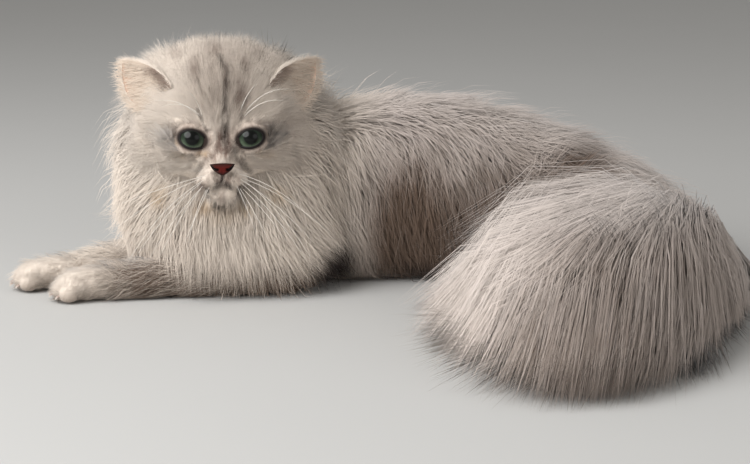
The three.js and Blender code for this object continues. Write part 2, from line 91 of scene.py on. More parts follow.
# The head: its place, its turn to the side and its tilt, and the skull's reach from its middle.
HEAD_AT = np.array([-115.0, -48.0, 128.0])
HEAD_YAW = math.radians(6)
HEAD_PITCH = math.radians(-5)
SKULL = {"wide": 59, "front": 42, "back": 47, "high": 56.5, "low": 50}
SWELLINGS = [
    ((0.78, -0.45, -0.44), 0.5, 5),
    ((-0.78, -0.45, -0.44), 0.5, 5),
    ((0, -0.8, -0.6), 0.38, 8),
    ((0, -0.75, 0.66), 0.5, 3),
]
EYE_AT = np.array([21.0, -31.5, -10.0])
EYE_RADIUS = 12
LID = {"wide": 9.4, "high": 6.5, "tilt": 0.22, "corner": 2.8}
NOSE_AT = np.array([0.0, -49.5, -31.2])
MUZZLE = [
    ("bridge", (0, -40.5, -25), (9, 8.5, 11)),
    ("pad_left", (8.2, -41, -38.5), (10.5, 8.5, 8)),
    ("pad_right", (-8.2, -41, -38.5), (10.5, 8.5, 8)),
    ("chin", (0, -36.5, -50), (13, 7.5, 7)),
]
# An ear's opening: the inner and the outer end of its root, its tip, and how deep its cup is.
EAR_INNER = np.array([35.0, -35.0, 27.5])
EAR_OUTER = np.array([57.0, -19.0, 9.0])
EAR_TIP = np.array([70.0, -13.0, 46.0])
EAR_DEEP = 7

# The ruff, and the stations of each tube: x, y, z of its middle, half its width, half its height.
# A square of 2 would make the ruff an egg, and one of 1 would make each tube's section an oval.
RUFF_AT = np.array([-112.0, -17.0, 83.0])
RUFF_RADII = np.array([74.0, 58.0, 81.0])
RUFF_SQUARE = 3.1
TUBE_SQUARE = 0.88
# How deep the flesh lies under the coat at the ruff, and at a toe or a pad.
RUFF_DEEP = 9
SMALL_DEEP = 1.2
TORSO = [
    (-95, 8, 55, 38, 50), (-50, 12, 62, 52, 64), (10, 18, 66.5, 57, 68.5), (70, 22, 63.5, 60, 65.5),
    (130, 27, 53.5, 62, 55.5), (190, 32, 41, 56, 42.5), (262, 30, 25, 34, 25),
]
HAUNCH = [(92, 76, 25, 17, 26), (150, 66, 41, 25, 42.5), (208, 40, 38, 26, 38)]
HIND_FOOT = [(165, 84, 12, 12, 13), (120, 92, 12, 12.5, 13), (80, 96, 10, 15, 11.5)]
LEFT_FOREARM = [
    (-40, -40, 22, 19, 23), (-95, -55, 17, 18, 18), (-150, -67, 13.5, 16, 14.5), (-208, -80, 12, 14.5, 13),
]
RIGHT_FOREARM = [
    (-60, 34, 26, 20, 27), (-125, 8, 20, 19, 21), (-185, -20, 15.5, 17, 17), (-240, -45, 12.5, 15, 13.5),
]
LEFT_PALM = [(-188, -76, 12.5, 13, 13), (-212, -81, 12, 15, 13.5), (-236, -86, 10, 16, 12)]
RIGHT_PALM = [(-222, -40, 13, 13, 13), (-247, -46, 12, 15, 13.5), (-272, -52, 10, 16, 12)]
TAIL = [
    (222, 28, 38, 20, 22), (238, -20, 34, 27, 31), (228, -78, 34, 37, 35), (202, -128, 34, 43, 35),
    (165, -172, 31, 41, 32), (122, -210, 22, 28, 23),
]
BODY_MIDDLE_Y = 30
# Toes: their radii, where the paw's middle is and how it is turned.
FORE_TOE = (9, 5.6, 8)
HIND_TOE = (9, 5.2, 7.5)
PAWS = {
    "toe_left": (FORE_TOE, (-231, -85), 0.2),
    "toe_right": (FORE_TOE, (-267, -51), 0.2),
    "hind_toe_left": (HIND_TOE, (85, BODY_MIDDLE_Y - 96), -0.08),
    "hind_toe_right": (HIND_TOE, (85, BODY_MIDDLE_Y + 96), 0.08),
}


def unit(vectors):
    """Vectors made one long."""
    return vectors / np.maximum(np.linalg.norm(vectors, axis=-1, keepdims=True), 1e-9)


def dot(a, b):
    """The dot product of each pair of vectors, as a column."""
    return np.sum(a * b, axis=-1, keepdims=True)


def smooth(low, high, value):
    """From 0 at low to 1 at high, with soft ends."""
    share = np.clip((value - low) / (high - low), 0, 1)
    return share * share * (3 - 2 * share)


def turn_matrix(pitch, yaw):
    """A turn about x and then about z."""
    about_x = np.array([
        [1, 0, 0],
        [0, math.cos(pitch), -math.sin(pitch)],
        [0, math.sin(pitch), math.cos(pitch)],
    ])
    about_z = np.array([
        [math.cos(yaw), -math.sin(yaw), 0],
        [math.sin(yaw), math.cos(yaw), 0],
        [0, 0, 1],
    ])
    return about_z @ about_x


HEAD_TURN = turn_matrix(HEAD_PITCH, HEAD_YAW)


def from_head(points):
    """Points of the head's frame, in the cat's own."""
    return np.asarray(points, float) @ HEAD_TURN.T + HEAD_AT


def to_head(points):
    """Points of the cat's own frame, in the head's."""
    return (np.asarray(points, float) - HEAD_AT) @ HEAD_TURN


def eye_middle(side):
    """An eye's middle: side is 1 for the cat's left and -1 for its right."""
    return from_head(EYE_AT * (side, 1, 1))


def cad_shift():
    """What takes the cat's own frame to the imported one, from where the eyes are."""
    boxes = [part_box(name) for name in ("eye_left", "eye_right")]
    packed = np.mean([(np.array(low) + np.array(high)) * MM / 2 for low, high in boxes], axis=0)
    own = (eye_middle(1) + eye_middle(-1)) / 2
    return (packed - own) * (1, 1, 0)


SHIFT = cad_shift()
# The solids' box in the cat's own frame, and how far past each of its sides the coat may reach.
ROOM = np.array(CAD_BOX) * MM - SHIFT
SPARE = 0.026 * (ROOM[1] - ROOM[0]) + 9


def place(points):
    """Points of the cat's own frame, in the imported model's metres."""
    return (np.asarray(points, float) + SHIFT) / MM


class Curve:
    """A smooth line through stations, as the solids have it."""

    def __init__(self, stations):
        self.stations = np.array(stations, float)

    def at(self, t):
        stations = self.stations
        last = len(stations) - 1
        along = np.clip(np.asarray(t, float), 0, 1) * last
        index = np.minimum(along.astype(int), last - 1)
        share = (along - index)[..., None]
        padded = np.vstack([2 * stations[0] - stations[1], stations, 2 * stations[-1] - stations[-2]])
        p0, p1, p2, p3 = (padded[index + k] for k in range(4))
        far = [np.linalg.norm(b - a, axis=-1, keepdims=True) for a, b in ((p0, p1), (p1, p2), (p2, p3))]
        gap = [np.maximum(reach, 1e-6) ** 0.5 for reach in far]
        m1 = ((p1 - p0) / gap[0] - (p2 - p0) / (gap[0] + gap[1]) + (p2 - p1) / gap[1]) * gap[1]
        m2 = ((p2 - p1) / gap[1] - (p3 - p1) / (gap[1] + gap[2]) + (p3 - p2) / gap[2]) * gap[1]
        curl = 2 * p1 - 2 * p2 + m1 + m2
        bend = -3 * p1 + 3 * p2 - 2 * m1 - m2
        return p1 + share * (m1 + share * (bend + share * curl))

    def along(self, t):
        return unit(self.at(np.asarray(t) + 1e-3) - self.at(np.asarray(t) - 1e-3))


class Tube:
    """An oval tube along a line of stations, rounded at both ends."""

    def __init__(self, stations, inset, blunt=6):
        stations = np.array(stations, float)
        self.line = Curve(stations[:, :3])
        self.size = Curve(stations[:, 3:])
        self.inset = inset
        self.blunt = blunt

    def grid(self, rows=72, columns=56):
        t = (1 - np.cos(np.linspace(0, math.pi, rows))) / 2
        angle = np.linspace(0, 2 * math.pi, columns, endpoint=False)
        t, angle = np.meshgrid(t, angle, indexing="ij")
        along = self.line.along(t)
        side = unit(np.cross((0, 0, 1), along))
        up = np.cross(along, side)
        size = np.maximum(self.size.at(t) - self.inset, 3)
        blunted = np.sqrt(np.maximum(0, 1 - np.abs(2 * t - 1) ** self.blunt))[..., None]
        c, s = np.cos(angle)[..., None], np.sin(angle)[..., None]
        across = np.sign(c) * np.abs(c) ** TUBE_SQUARE * size[..., :1] * blunted
        high = np.sign(s) * np.abs(s) ** TUBE_SQUARE * size[..., 1:] * blunted
        end = -self.inset * ((2 * t - 1) ** 5)[..., None]
        return self.line.at(t) + side * across + up * high + along * end


def ball_ways(rows, columns):
    """Ways out of a ball whose first pole looks along -y."""
    ring = np.linspace(0, math.pi, rows)
    turn = np.linspace(0, 2 * math.pi, columns, endpoint=False)
    ring, turn = np.meshgrid(ring, turn, indexing="ij")
    return np.stack([np.sin(ring) * np.cos(turn), -np.cos(ring), np.sin(ring) * np.sin(turn)], axis=-1)


def skull_grid():
    """The skull: an egg with a wider top, swollen at the cheeks, the muzzle and the forehead."""
    way = ball_ways(80, 96)
    deep = np.where(way[..., 1] < 0, SKULL["front"], SKULL["back"])
    tall = np.where(way[..., 2] > 0, SKULL["high"], SKULL["low"])
    square = np.where(way[..., 2] > 0, 2.55, 2.0)
    sides = [np.abs(way[..., 0] / SKULL["wide"]), np.abs(way[..., 1] / deep), np.abs(way[..., 2] / tall)]
    reach = sum(side**square for side in sides) ** (-1 / square)
    for towards, spread, height in SWELLINGS:
        angle = np.arccos(np.clip(way @ unit(np.array(towards)), -1, 1))
        reach += height * np.exp(-((angle / spread) ** 2))
    reach -= 2.5 + 3 * smooth(-0.8, -0.1, way[..., 1])
    return from_head(way * reach[..., None])


def ruff_grid():
    """The flesh under the ruff: a ball drawn out towards a box."""
    way = ball_ways(80, 96)
    reach = np.sum(np.abs(way / RUFF_RADII) ** RUFF_SQUARE, axis=-1) ** (-1 / RUFF_SQUARE)
    return RUFF_AT + way * (reach - RUFF_DEEP)[..., None]


def ball_grid(middle, radii, rows=24, columns=28):
    """An egg round a middle."""
    return np.array(middle) + ball_ways(rows, columns) * np.array(radii)


class Form:
    """A closed surface on a grid, its rows from pole to pole, with its cell of the coat's map."""

    def __init__(self, name, points, cell=(0, 0, 1, 1)):
        self.name = name
        self.points = points
        self.cell = cell

    def shell(self):
        """Its vertices, with one at each pole, and its faces."""
        rows, columns = self.points.shape[:2]
        rings = self.points[1:-1].reshape(-1, 3)
        vertices = np.vstack([rings, self.points[0].mean(0), self.points[-1].mean(0)])
        first, last = len(rings), len(rings) + 1
        faces = []
        for column in range(columns):
            beside = (column + 1) % columns
            faces.append((first, beside, column))
            for row in range(rows - 3):
                a, b = row * columns, (row + 1) * columns
                faces.append((a + column, a + beside, b + beside, b + column))
            faces.append((last, (rows - 3) * columns + column, (rows - 3) * columns + beside))
        return vertices, faces

    def spread(self, per_cm2, rng, thin=None):
        """Roots spread over the form by its area: their places, the ways on, and places on the map."""
        p = self.points
        q = np.roll(p, -1, axis=1)
        corners = np.stack([p[:-1], p[1:], q[1:], q[:-1]])
        area = np.linalg.norm(np.cross(corners[2] - corners[0], corners[3] - corners[1]), axis=-1) / 2
        if thin is not None:
            area = area * thin(corners.mean(0).reshape(-1, 3)).reshape(area.shape)
        count = int(area.sum() * per_cm2 / 100)
        pick = rng.choice(area.size, count, p=area.ravel() / area.sum())
        row, column = np.divmod(pick, area.shape[1])
        u, w = rng.random((2, count))
        a, b, c, d = corners[:, row, column]
        u, w = u[:, None], w[:, None]
        at = (a * (1 - u) + b * u) * (1 - w) + (d * (1 - u) + c * u) * w
        forward = unit((b - a) * (1 - w) + (c - d) * w)
        left, low, wide, high = self.cell
        spot = np.stack([
            left + wide * (column + w[:, 0]) / area.shape[1],
            low + high * (row + u[:, 0]) / area.shape[0],
        ], axis=-1)
        return at, forward, spot


def mirrored(stations, side):
    """A hind leg's stations, from the body's middle out to one side."""
    return [(x, BODY_MIDDLE_Y + side * y, *rest) for x, y, *rest in stations]


def toes(name, cell):
    """The four toes of a paw."""
    toe, at, facing = PAWS[name]
    made = []
    turn = turn_matrix(0, facing)
    for number, n in enumerate((-1.5, -0.5, 0.5, 1.5)):
        back = toe[0] * 0.5 if abs(n) > 1 else 0
        offset = turn @ np.array([back, n * toe[1] * 1.45, 0])
        points = ball_grid((0, 0, 0), np.array(toe) - SMALL_DEEP, 14, 16) @ turn.T
        middle = np.array([at[0], at[1], toe[2] - 1]) + offset
        left, low, wide, high = cell
        quarter = (left + number * wide / 4, low, wide / 4, high)
        made.append(Form(f"{name}_{number + 1}", points + middle, quarter))
    return made


@lru_cache
def flesh():
    """The forms that join to the skin, by name."""
    forms = [
        Form("tail", Tube(TAIL, 10).grid(), (0, 0, 0.5, 0.33)),
        Form("torso", Tube(TORSO, 7).grid(), (0.5, 0, 0.5, 0.33)),
        Form("ruff", ruff_grid(), (0, 0.33, 0.4, 0.34)),
        Form("skull", skull_grid(), (0.4, 0.33, 0.35, 0.34)),
        Form("haunch_left", Tube(mirrored(HAUNCH, -1), 6, 4).grid(), (0.75, 0.33, 0.25, 0.17)),
        Form("haunch_right", Tube(mirrored(HAUNCH, 1), 6, 4).grid(), (0.75, 0.5, 0.25, 0.17)),
        Form("forearm_left", Tube(LEFT_FOREARM, 4).grid(), (0, 0.67, 0.2, 0.15)),
        Form("forearm_right", Tube(RIGHT_FOREARM, 4).grid(), (0.2, 0.67, 0.2, 0.15)),
        Form("palm_left", Tube(LEFT_PALM, 2, 4).grid(30, 32), (0.4, 0.67, 0.1, 0.15)),
        Form("palm_right", Tube(RIGHT_PALM, 2, 4).grid(30, 32), (0.5, 0.67, 0.1, 0.15)),
        Form("foot_left", Tube(mirrored(HIND_FOOT, -1), 2, 4).grid(30, 32), (0.6, 0.67, 0.1, 0.15)),
        Form("foot_right", Tube(mirrored(HIND_FOOT, 1), 2, 4).grid(30, 32), (0.7, 0.67, 0.1, 0.15)),
    ]
    for number, (name, at, radii) in enumerate(MUZZLE):
        points = from_head(ball_grid(at, np.array(radii) - SMALL_DEEP))
        forms.append(Form(name, points, (0.1 * number, 0.82, 0.1, 0.09)))
    for left, name in zip((0.4, 0.55, 0.7, 0.85), PAWS):
        forms += toes(name, (left, 0.82, 0.15, 0.09))
    return {form.name: form for form in forms}


def lid_rim(side, turn):
    """The edge of the lids, seen from the front of the eye."""
    c, s = np.cos(turn), np.sin(turn)
    inner = np.maximum(0, -c)
    outer = LID["wide"] * c - LID["corner"] * inner**8
    high = LID["high"] * s * np.where(s > 0, 0.96, 1) - 1.6 * inner**5
    across = outer * math.cos(LID["tilt"]) - high * math.sin(LID["tilt"])
    return side * across, outer * math.sin(LID["tilt"]) + high * math.cos(LID["tilt"])


# Across a lid: how far out from its edge, in radians round the eye, and how far from the eye's middle.
LID_PROFILE = [
    (-0.07, 11.2), (-0.04, 12.0), (0.02, 12.5), (0.08, 12.6),
    (0.2, 12.9), (0.34, 13.6), (0.5, 14.4), (0.72, 14.8),
]


def lid_grid(side, columns=64, proud=0.0):
    """The upper and lower lid as one ring that lies on the eye and sinks under the skin."""
    turn = np.linspace(0, 2 * math.pi, columns, endpoint=False) * side
    across, high = lid_rim(side, turn)
    wide = np.hypot(across, high)
    rows = []
    for more, radius in LID_PROFILE:
        angle = np.arcsin(np.clip(wide / (EYE_RADIUS + 0.4), 0, 0.98)) + more
        rows.append(np.stack([
            across / wide * np.sin(angle) * (radius + proud),
            -np.cos(angle) * (radius + proud),
            high / wide * np.sin(angle) * (radius + proud),
        ], axis=-1))
    return from_head(np.array(rows) + EYE_AT * (side, 1, 1))


def turned_over(faces):
    """Faces that look the other way."""
    return [tuple(reversed(face)) for face in faces]


def ring_shell(ring, middle, share, start=0):
    """A ring of rows made a closed shell, its inner wall drawn towards a middle."""
    rows, columns = ring.shape[:2]
    size = rows * columns
    inner = middle + (ring - middle) * share
    vertices = np.vstack([ring.reshape(-1, 3), inner.reshape(-1, 3)])
    faces = []
    for row in range(rows - 1):
        for column in range(columns):
            beside = (column + 1) % columns
            a, b = start + row * columns, start + (row + 1) * columns
            faces.append((a + column, a + beside, b + beside, b + column))
    faces += [tuple(corner + size for corner in reversed(face)) for face in faces]
    for column in range(columns):
        beside = (column + 1) % columns
        a, b = start + column, start + beside
        faces.append((a, a + size, b + size, b))
        a, b = a + size - columns, b + size - columns
        faces.append((b, b + size, a + size, a))
    return vertices, turned_over(faces)


def linked(name, data, slot=None):
    """An object in the scene; one with a slot is a piece of the cat and rides its one body."""
    made = bpy.data.objects.new(name, data)
    bpy.context.scene.collection.objects.link(made)
    if slot:
        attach(made, BODY)
    return made


def add_mesh(name, vertices, faces, finish, slot=None):
    """A smooth mesh piece from points of the cat's own frame."""
    mesh = bpy.data.meshes.new(name)
    mesh.from_pydata(place(vertices).tolist(), [], [tuple(map(int, face)) for face in faces])
    mesh.materials.append(finish)
    mesh.polygons.foreach_set("use_smooth", [True] * len(mesh.polygons))
    mesh.update()
    return linked(name, mesh, slot)


def own_place(mesh):
    """Where a mesh's vertices are in the cat's own frame."""
    places = np.empty(len(mesh.vertices) * 3)
    mesh.vertices.foreach_get("co", places)
    return places.reshape(-1, 3) * MM - SHIFT


def note(mesh, name, values):
    """Keeps a number or a vector for each vertex, for the mesh's finish."""
    values = np.asarray(values, np.float32)
    kind = ("FLOAT", "value") if values.ndim == 1 else ("FLOAT_VECTOR", "vector")
    kept = mesh.attributes.new(name, kind[0], "POINT")
    kept.data.foreach_set(kind[1], values.ravel())


class Surface:
    """The finished skin, for finding the nearest point on it."""

    def __init__(self, mesh):
        self.places = own_place(mesh)
        corners = [tuple(face.vertices) for face in mesh.polygons]
        self.tree = BVHTree.FromPolygons(self.places.tolist(), corners)
        normals = np.empty(len(mesh.vertices) * 3)
        mesh.vertex_normals.foreach_get("vector", normals)
        normals = normals.reshape(-1, 3)
        self.out = unit(np.array([normals[list(face)].mean(0) for face in corners]))

    def nearest(self, points):
        """The nearest place on the skin and the way out of it there, for each point."""
        find = self.tree.find_nearest
        found = [find(point) for point in points.tolist()]
        places = np.array([tuple(hit[0]) for hit in found])
        return places, self.out[[hit[2] for hit in found]]


@lru_cache
def skin_surface():
    """The skin, once it is made."""
    return Surface(bpy.data.objects["skin"].data)


class Term:
    """A number that a node gives, so that shader maths reads as Python."""

    def __init__(self, finish, socket):
        self.finish = finish
        self.socket = socket

    def _with(self, operation, first, second):
        made = self.finish.node("ShaderNodeMath", {"operation": operation}, {0: first, 1: second})
        return Term(self.finish, made.outputs[0])

    def __add__(self, other):
        return self._with("ADD", self, other)

    def __sub__(self, other):
        return self._with("SUBTRACT", self, other)

    def __mul__(self, other):
        return self._with("MULTIPLY", self, other)

    def __rsub__(self, other):
        return self._with("SUBTRACT", other, self)

    __radd__ = __add__
    __rmul__ = __mul__

    def most(self, other):
        return self._with("MAXIMUM", self, other)

    def least(self, other):
        return self._with("MINIMUM", self, other)

    def clamped(self):
        return self.most(0).least(1)

    def rise(self, low, high):
        """From 0 at low to 1 at high, with soft ends."""
        node = self.finish.node(
            "ShaderNodeMapRange",
            {"interpolation_type": "SMOOTHSTEP"},
            {"Value": self, "From Min": low, "From Max": high},
        )
        return Term(self.finish, node.outputs["Result"])


class Finish:
    """A material in the making."""

    def __init__(self, name, **constants):
        self.material = bpy.data.materials.new(name)
        self.material.use_nodes = True
        self.tree = self.material.node_tree
        self.shader = self.tree.nodes["Principled BSDF"]
        for socket, value in constants.items():
            self.shader.inputs[socket.replace("_", " ")].default_value = value

    def node(self, kind, settings=None, values=None):
        """Any node: its settings are set first, then the values or links of its sockets."""
        made = self.tree.nodes.new(kind)
        for name, value in (settings or {}).items():
            setattr(made, name, value)
        for name, value in (values or {}).items():
            self.feed(made.inputs[name], value)
        return made

    def feed(self, socket, value):
        """Links what gives a value to a socket, or sets the socket to it."""
        if isinstance(value, Term):
            value = value.socket
        if isinstance(value, bpy.types.NodeSocket):
            self.tree.links.new(value, socket)
        elif socket.type == "RGBA":
            socket.default_value = (*value, 1)
        else:
            socket.default_value = value

    def set(self, **sockets):
        """Feeds the shader's own sockets."""
        for name, value in sockets.items():
            self.feed(self.shader.inputs[name.replace("_", " ")], value)

    def number(self, name):
        """A number that the mesh keeps for each vertex."""
        return Term(self, self.node("ShaderNodeAttribute", {"attribute_name": name}).outputs["Fac"])

    def vector(self, name):
        """A vector that the mesh keeps for each vertex."""
        return self.node("ShaderNodeAttribute", {"attribute_name": name}).outputs["Vector"]

    def vectors(self, operation, first, second):
        """Vector maths on two vectors."""
        return self.node("ShaderNodeVectorMath", {"operation": operation}, {0: first, 1: second}).outputs[0]

    def length(self, vector):
        node = self.node("ShaderNodeVectorMath", {"operation": "LENGTH"}, {0: vector})
        return Term(self, node.outputs["Value"])

    def parts(self, vector):
        """The vector's x, y and z."""
        return [Term(self, socket) for socket in self.node("ShaderNodeSeparateXYZ", {}, {0: vector}).outputs]

    def level(self, x, z):
        """A vector of x and z alone, as seen along y."""
        return self.node("ShaderNodeCombineXYZ", {}, {"X": x, "Z": z}).outputs[0]

    def turned(self, vector, settings, angle):
        """A vector turned as the settings say, by an angle or by one for each axis."""
        return self.node("ShaderNodeVectorRotate", settings, {"Vector": vector, **angle}).outputs[0]

    def mix(self, share, first, second):
        """From the first colour at 0 to the second at 1."""
        settings = {"data_type": "RGBA", "clamp_factor": True}
        return self.node("ShaderNodeMix", settings, {0: share, 6: first, 7: second}).outputs[2]

    def cloud(self, vector, size, detail=2.0, rough=0.5):
        """Noise from 0 to 1 whose blots are about size across."""
        values = {"Vector": vector, "Scale": 1 / size, "Detail": detail, "Roughness": rough}
        return Term(self, self.node("ShaderNodeTexNoise", {}, values).outputs[0])

    def blot(self, vector, middle, reach):
        """1 in the middle of an egg-shaped blot, 0 outside it."""
        off = self.vectors("SUBTRACT", vector, middle)
        return 1 - self.length(self.vectors("DIVIDE", off, reach)).rise(0, 1)

    def stroke(self, vector, start, end, wide):
        """1 along a line from start to end, 0 at a distance of wide from it."""
        start, end = Vector(start), Vector(end)
        line = end - start
        off = self.vectors("SUBTRACT", vector, start)
        per_line = {0: off, 1: line / line.length_squared}
        share = self.node("ShaderNodeVectorMath", {"operation": "DOT_PRODUCT"}, per_line)
        share = Term(self, share.outputs["Value"]).clamped()
        near = self.node("ShaderNodeVectorMath", {"operation": "SCALE"}, {0: line, "Scale": share})
        return 1 - self.length(self.vectors("SUBTRACT", off, near.outputs[0])).rise(wide * 0.15, wide)

    def bump(self, height, strength, distance):
        values = {"Height": height, "Strength": strength, "Distance": distance}
        self.set(Normal=self.node("ShaderNodeBump", {}, values).outputs[0])


def colour(name, description, default):
    return FloatVectorProperty(
        name=name, description=description, default=default, subtype="COLOR", min=0, max=1, size=3
    )


def length(name, description, default):
    return FloatProperty(
        name=name, description=description, default=default, unit="LENGTH", min=0.0, precision=4
    )


def amount(name, description, default, unit="NONE"):
    return FloatProperty(name=name, description=description, default=default, unit=unit, min=0.0)


def density(where, default):
    """How many tufts a part of the coat has."""
    return amount(f"{where} tufts", f"Tufts in a square centimetre of the {where.lower()}", default)


class CatColours(bpy.types.PropertyGroup):
    """Colours of the coat, the bare skin and the eyes."""

    cream: colour("Cream", "The coat's own colour", (0.92, 0.80, 0.685))
    rose: colour("Rose", "The cooler tint of the cream on the back and the tail", (0.84, 0.735, 0.68))
    dusty: colour("Dusty", "The duller cream that is mixed in here and there", (0.72, 0.63, 0.55))
    # shade also stands for the painted shade low on the flanks, under the forearms and along the floor.
    shade: colour("Silver shading", "The dark tips of the hairs behind the ruff", (0.16, 0.108, 0.078))
    # mauve also stands for the painted shadow in the ears' creases.
    mauve: colour("Crown shading", "The greyish brown of the crown and brows", (0.24, 0.168, 0.135))
    ochre: colour("Ochre", "The warm tint round the mouth and the cheeks", (0.62, 0.43, 0.25))
    # dark also stands for the painted deep shadow between the ruff, the near forearm and the belly.
    dark: colour("Dark lines", "The forehead's stripe, the eyes' rims and the lips", (0.03, 0.018, 0.014))
    iris: colour("Iris", "The lit part of the eye", (0.05, 0.075, 0.045))
    nose: colour("Nose leather", "The bare skin of the nose", (0.08, 0.007, 0.005))
    ear: colour("Ear skin", "The thin skin inside the ears", (0.72, 0.47, 0.34))
    claw: colour("Claws", "Horn of the claws", (0.55, 0.42, 0.36))


class CatSizes(bpy.types.PropertyGroup):
    """Sizes of the skin and the coat."""

    skin_edge: length("Skin edge", "The edge length of the skin's faces", 0.0027)
    face_density: density("Face", 135)
    ruff_density: density("Ruff", 78)
    body_density: density("Body", 31)
    leg_density: density("Leg", 20)
    tail_density: density("Tail", 38)
    ruff_long: length("Ruff hair", "How long the ruff's hair is", 0.052)
    body_long: length("Body hair", "How long the hair of the back and flanks is", 0.048)
    tail_long: length("Tail hair", "How long the plume's hair is", 0.145)
    seed: IntProperty(name="Seed", description="Which draw the coat comes from", default=7, min=0)


class CatStage(bpy.types.PropertyGroup):
    """Floor, light and camera."""

    floor: colour("Floor", "The floor's colour", (0.60, 0.595, 0.58))
    key: amount("Key light", "Watts of the large light above the cat's left", 43, "POWER")
    fill: amount("Fill light", "Watts of the weak light from the right", 7, "POWER")
    sky: amount("Sky", "Strength of the light from all round", 0.34)
    lens: amount("Lens", "Focal length of the camera", 81.9, "CAMERA")


# The face's markings, a few of them painted shade, as seen from the front, x to the cat's left and z up from
# the head's middle, in millimetres. Blots: middle, reach to the sides and up, share. Lines: start, end, how
# wide, share.
CROWN_BLOTS = [
    ((-16.5, 36), (9, 18), 0.85), ((-4, 50), (12, 11), 0.8), ((13, 18), (12, 30), 0.85),
    ((17, 38), (7, 14), 0.9), ((4, 30), (7, 26), 0.8), ((-9, 60), (10, 6), 0.5), ((26, 47), (11, 10), 0.45),
    ((-30, 48), (9, 8), 0.5), ((1, -15), (15, 20), 1.35), ((44, 0), (14, 30), 0.35),
    ((12, -24), (8, 9), 0.65), ((-12, -24), (7, 8), 0.5), ((0, -44), (10, 6), 0.6), ((0, 25), (36, 60), 0.5),
    # The blot at (-8, -23) left of the nose bridge is partly taupe fur and partly painted shade where the
    # light falls; the strong one at (-1, -22) on the shelf above the nose is painted shade.
    ((0, -38), (25, 13), 0.9), ((-8, -23), (18, 14), 0.9), ((-21, -8), (19, 15), 0.4),
    ((21, -8), (19, 15), 0.5), ((-27, 60), (20, 10), 0.4), ((26, 62), (20, 10), 0.2),
    ((-1, -22), (8, 6), 1.4), ((-14, -44), (12, 10), 0.8), ((13, -45), (10, 9), 0.5),
    ((0, -52), (14, 9), 0.7),
]
OCHRE_BLOTS = [
    ((-43, -50), (9, 11), 0.9), ((38, -49), (12, 9), 0.6), ((-12, -58), (12, 7), 0.9),
    ((14, -58), (9, 6), 0.6), ((-13, -21), (8, 4), 0.5), ((-35, -12), (12, 4), 0.45),
    ((35, -8), (9, 4), 0.45), ((-28, -22), (10, 4), 0.35), ((0, -62), (26, 10), 0.3),
    ((30, -22), (10, 5), 0.35),
]
FACE_LINES = [
    ((2.2, -14), (2.8, 8), 5, 0.75), ((2.8, 8), (4.5, 34), 3.4, 0.8), ((4.5, 34), (0, 45), 3, 0.6),
    ((2, -13), (2.4, -2), 3, 1.0), ((-11, -4), (-16, 10), 2.0, 0.8), ((-10, -14), (-11, -4), 3, 0.5),
    # The lines down the muzzle from (9, -18) and (-14, -28) are painted shade in the creases beside the
    # pads.
    ((13, -3), (15, 12), 2.2, 0.5), ((15, 12), (19, 17), 2.2, 0.4), ((9, -18), (15.5, -30), 4.5, 0.75),
    ((15.5, -30), (21, -36), 3, 0.6), ((-14, -28), (-17, -34), 3, 0.6), ((-30, -9), (-45, -15), 2.2, 0.45),
    ((30, -6), (44, -12), 2.4, 0.6), ((-37, -21), (-21, -21), 2.2, 0.3), ((21, -21), (34, -17), 2.4, 0.45),
    ((0, -35), (0, -41), 2.4, 1.3), ((0, -41), (-5, -43.5), 3.6, 0.9), ((0, -41), (5.5, -44), 3.6, 0.9),
    ((49, -18), (50, -30), 4, 0.3),
]


def coat_colour(finish, colours):
    """The markings of the whole coat, for its skin and its tufts alike, with painted shade low on the
    flanks, along the floor and between the ruff and the belly.
    """
    root = finish.vector("root")
    along = finish.number("along")
    draw = finish.number("draw")
    x, y, z = finish.parts(root)
    side = finish.level(x, z)
    behind = x.rise(-40, 15)
    rump = x.rise(150, 205)
    near = 1 - y.rise(-36, -12)
    plume = (1 - y.rise(-120, -70)) * x.rise(-10, 30)

    # Dark tips in mottled patches on the back, more of them low on the flanks and few on the rump; the
    # darkening low on the flanks is also painted shade under the back.
    patches = finish.cloud(root, 50, 3.0, 0.55).rise(0.36, 0.66)
    fine = finish.cloud(root, 12, 2.0, 0.6).rise(0.3, 0.75)
    low = (1 - z.rise(60, 132)) * (1 - 0.85 * rump) * (1 - 0.9 * plume)
    flank_tips_and_shade = finish.blot(side, (22, 0, 62), (76, 1, 74)) * 0.85
    spots = finish.blot(side, (150, 0, 92), (34, 1, 22)).most(flank_tips_and_shade) * (1 - plume)
    mottled = (0.35 - 0.3 * rump) * patches * (0.4 + 0.6 * fine)
    dark = behind * (0.08 + 0.74 * low + mottled + 0.55 * spots)

    # Frizzy dark hair under the forearms, partly painted shade beneath them, and painted shade along the
    # floor.
    fringe_and_shade = (1 - z.rise(13, 42)) * x.rise(-225, -165) * (1 - x.rise(-40, 0)) * near
    floor_shade = (1 - z.rise(2, 15)) * (1 - x.rise(-60, -20))
    frizz_and_shade = fringe_and_shade.most(floor_shade * 0.8) * (0.1 + 1.4 * draw)
    dark = (dark * (0.6 + 0.4 * along) + finish.number("shade")).most(frizz_and_shade)
    tint = (dark * (0.7 + 0.6 * draw)).clamped()
    cream = finish.mix(behind, colours.cream, colours.rose)
    cream = finish.mix(draw * 0.5 + 0.25 * fine, cream, colours.dusty)
    made = finish.mix(tint, cream, colours.shade)

    # The deep shadow between the ruff, the near forearm and the belly.
    belly = finish.blot(side, (40, 0, 8), (36, 1, 24))
    gap = finish.blot(side, (-34, 0, 20), (24, 1, 32)).most(belly) * near
    made = finish.mix((gap * (1 - plume) * 1.9).clamped(), made, colours.dark)
    return face_colour(finish, colours, made, root, draw)


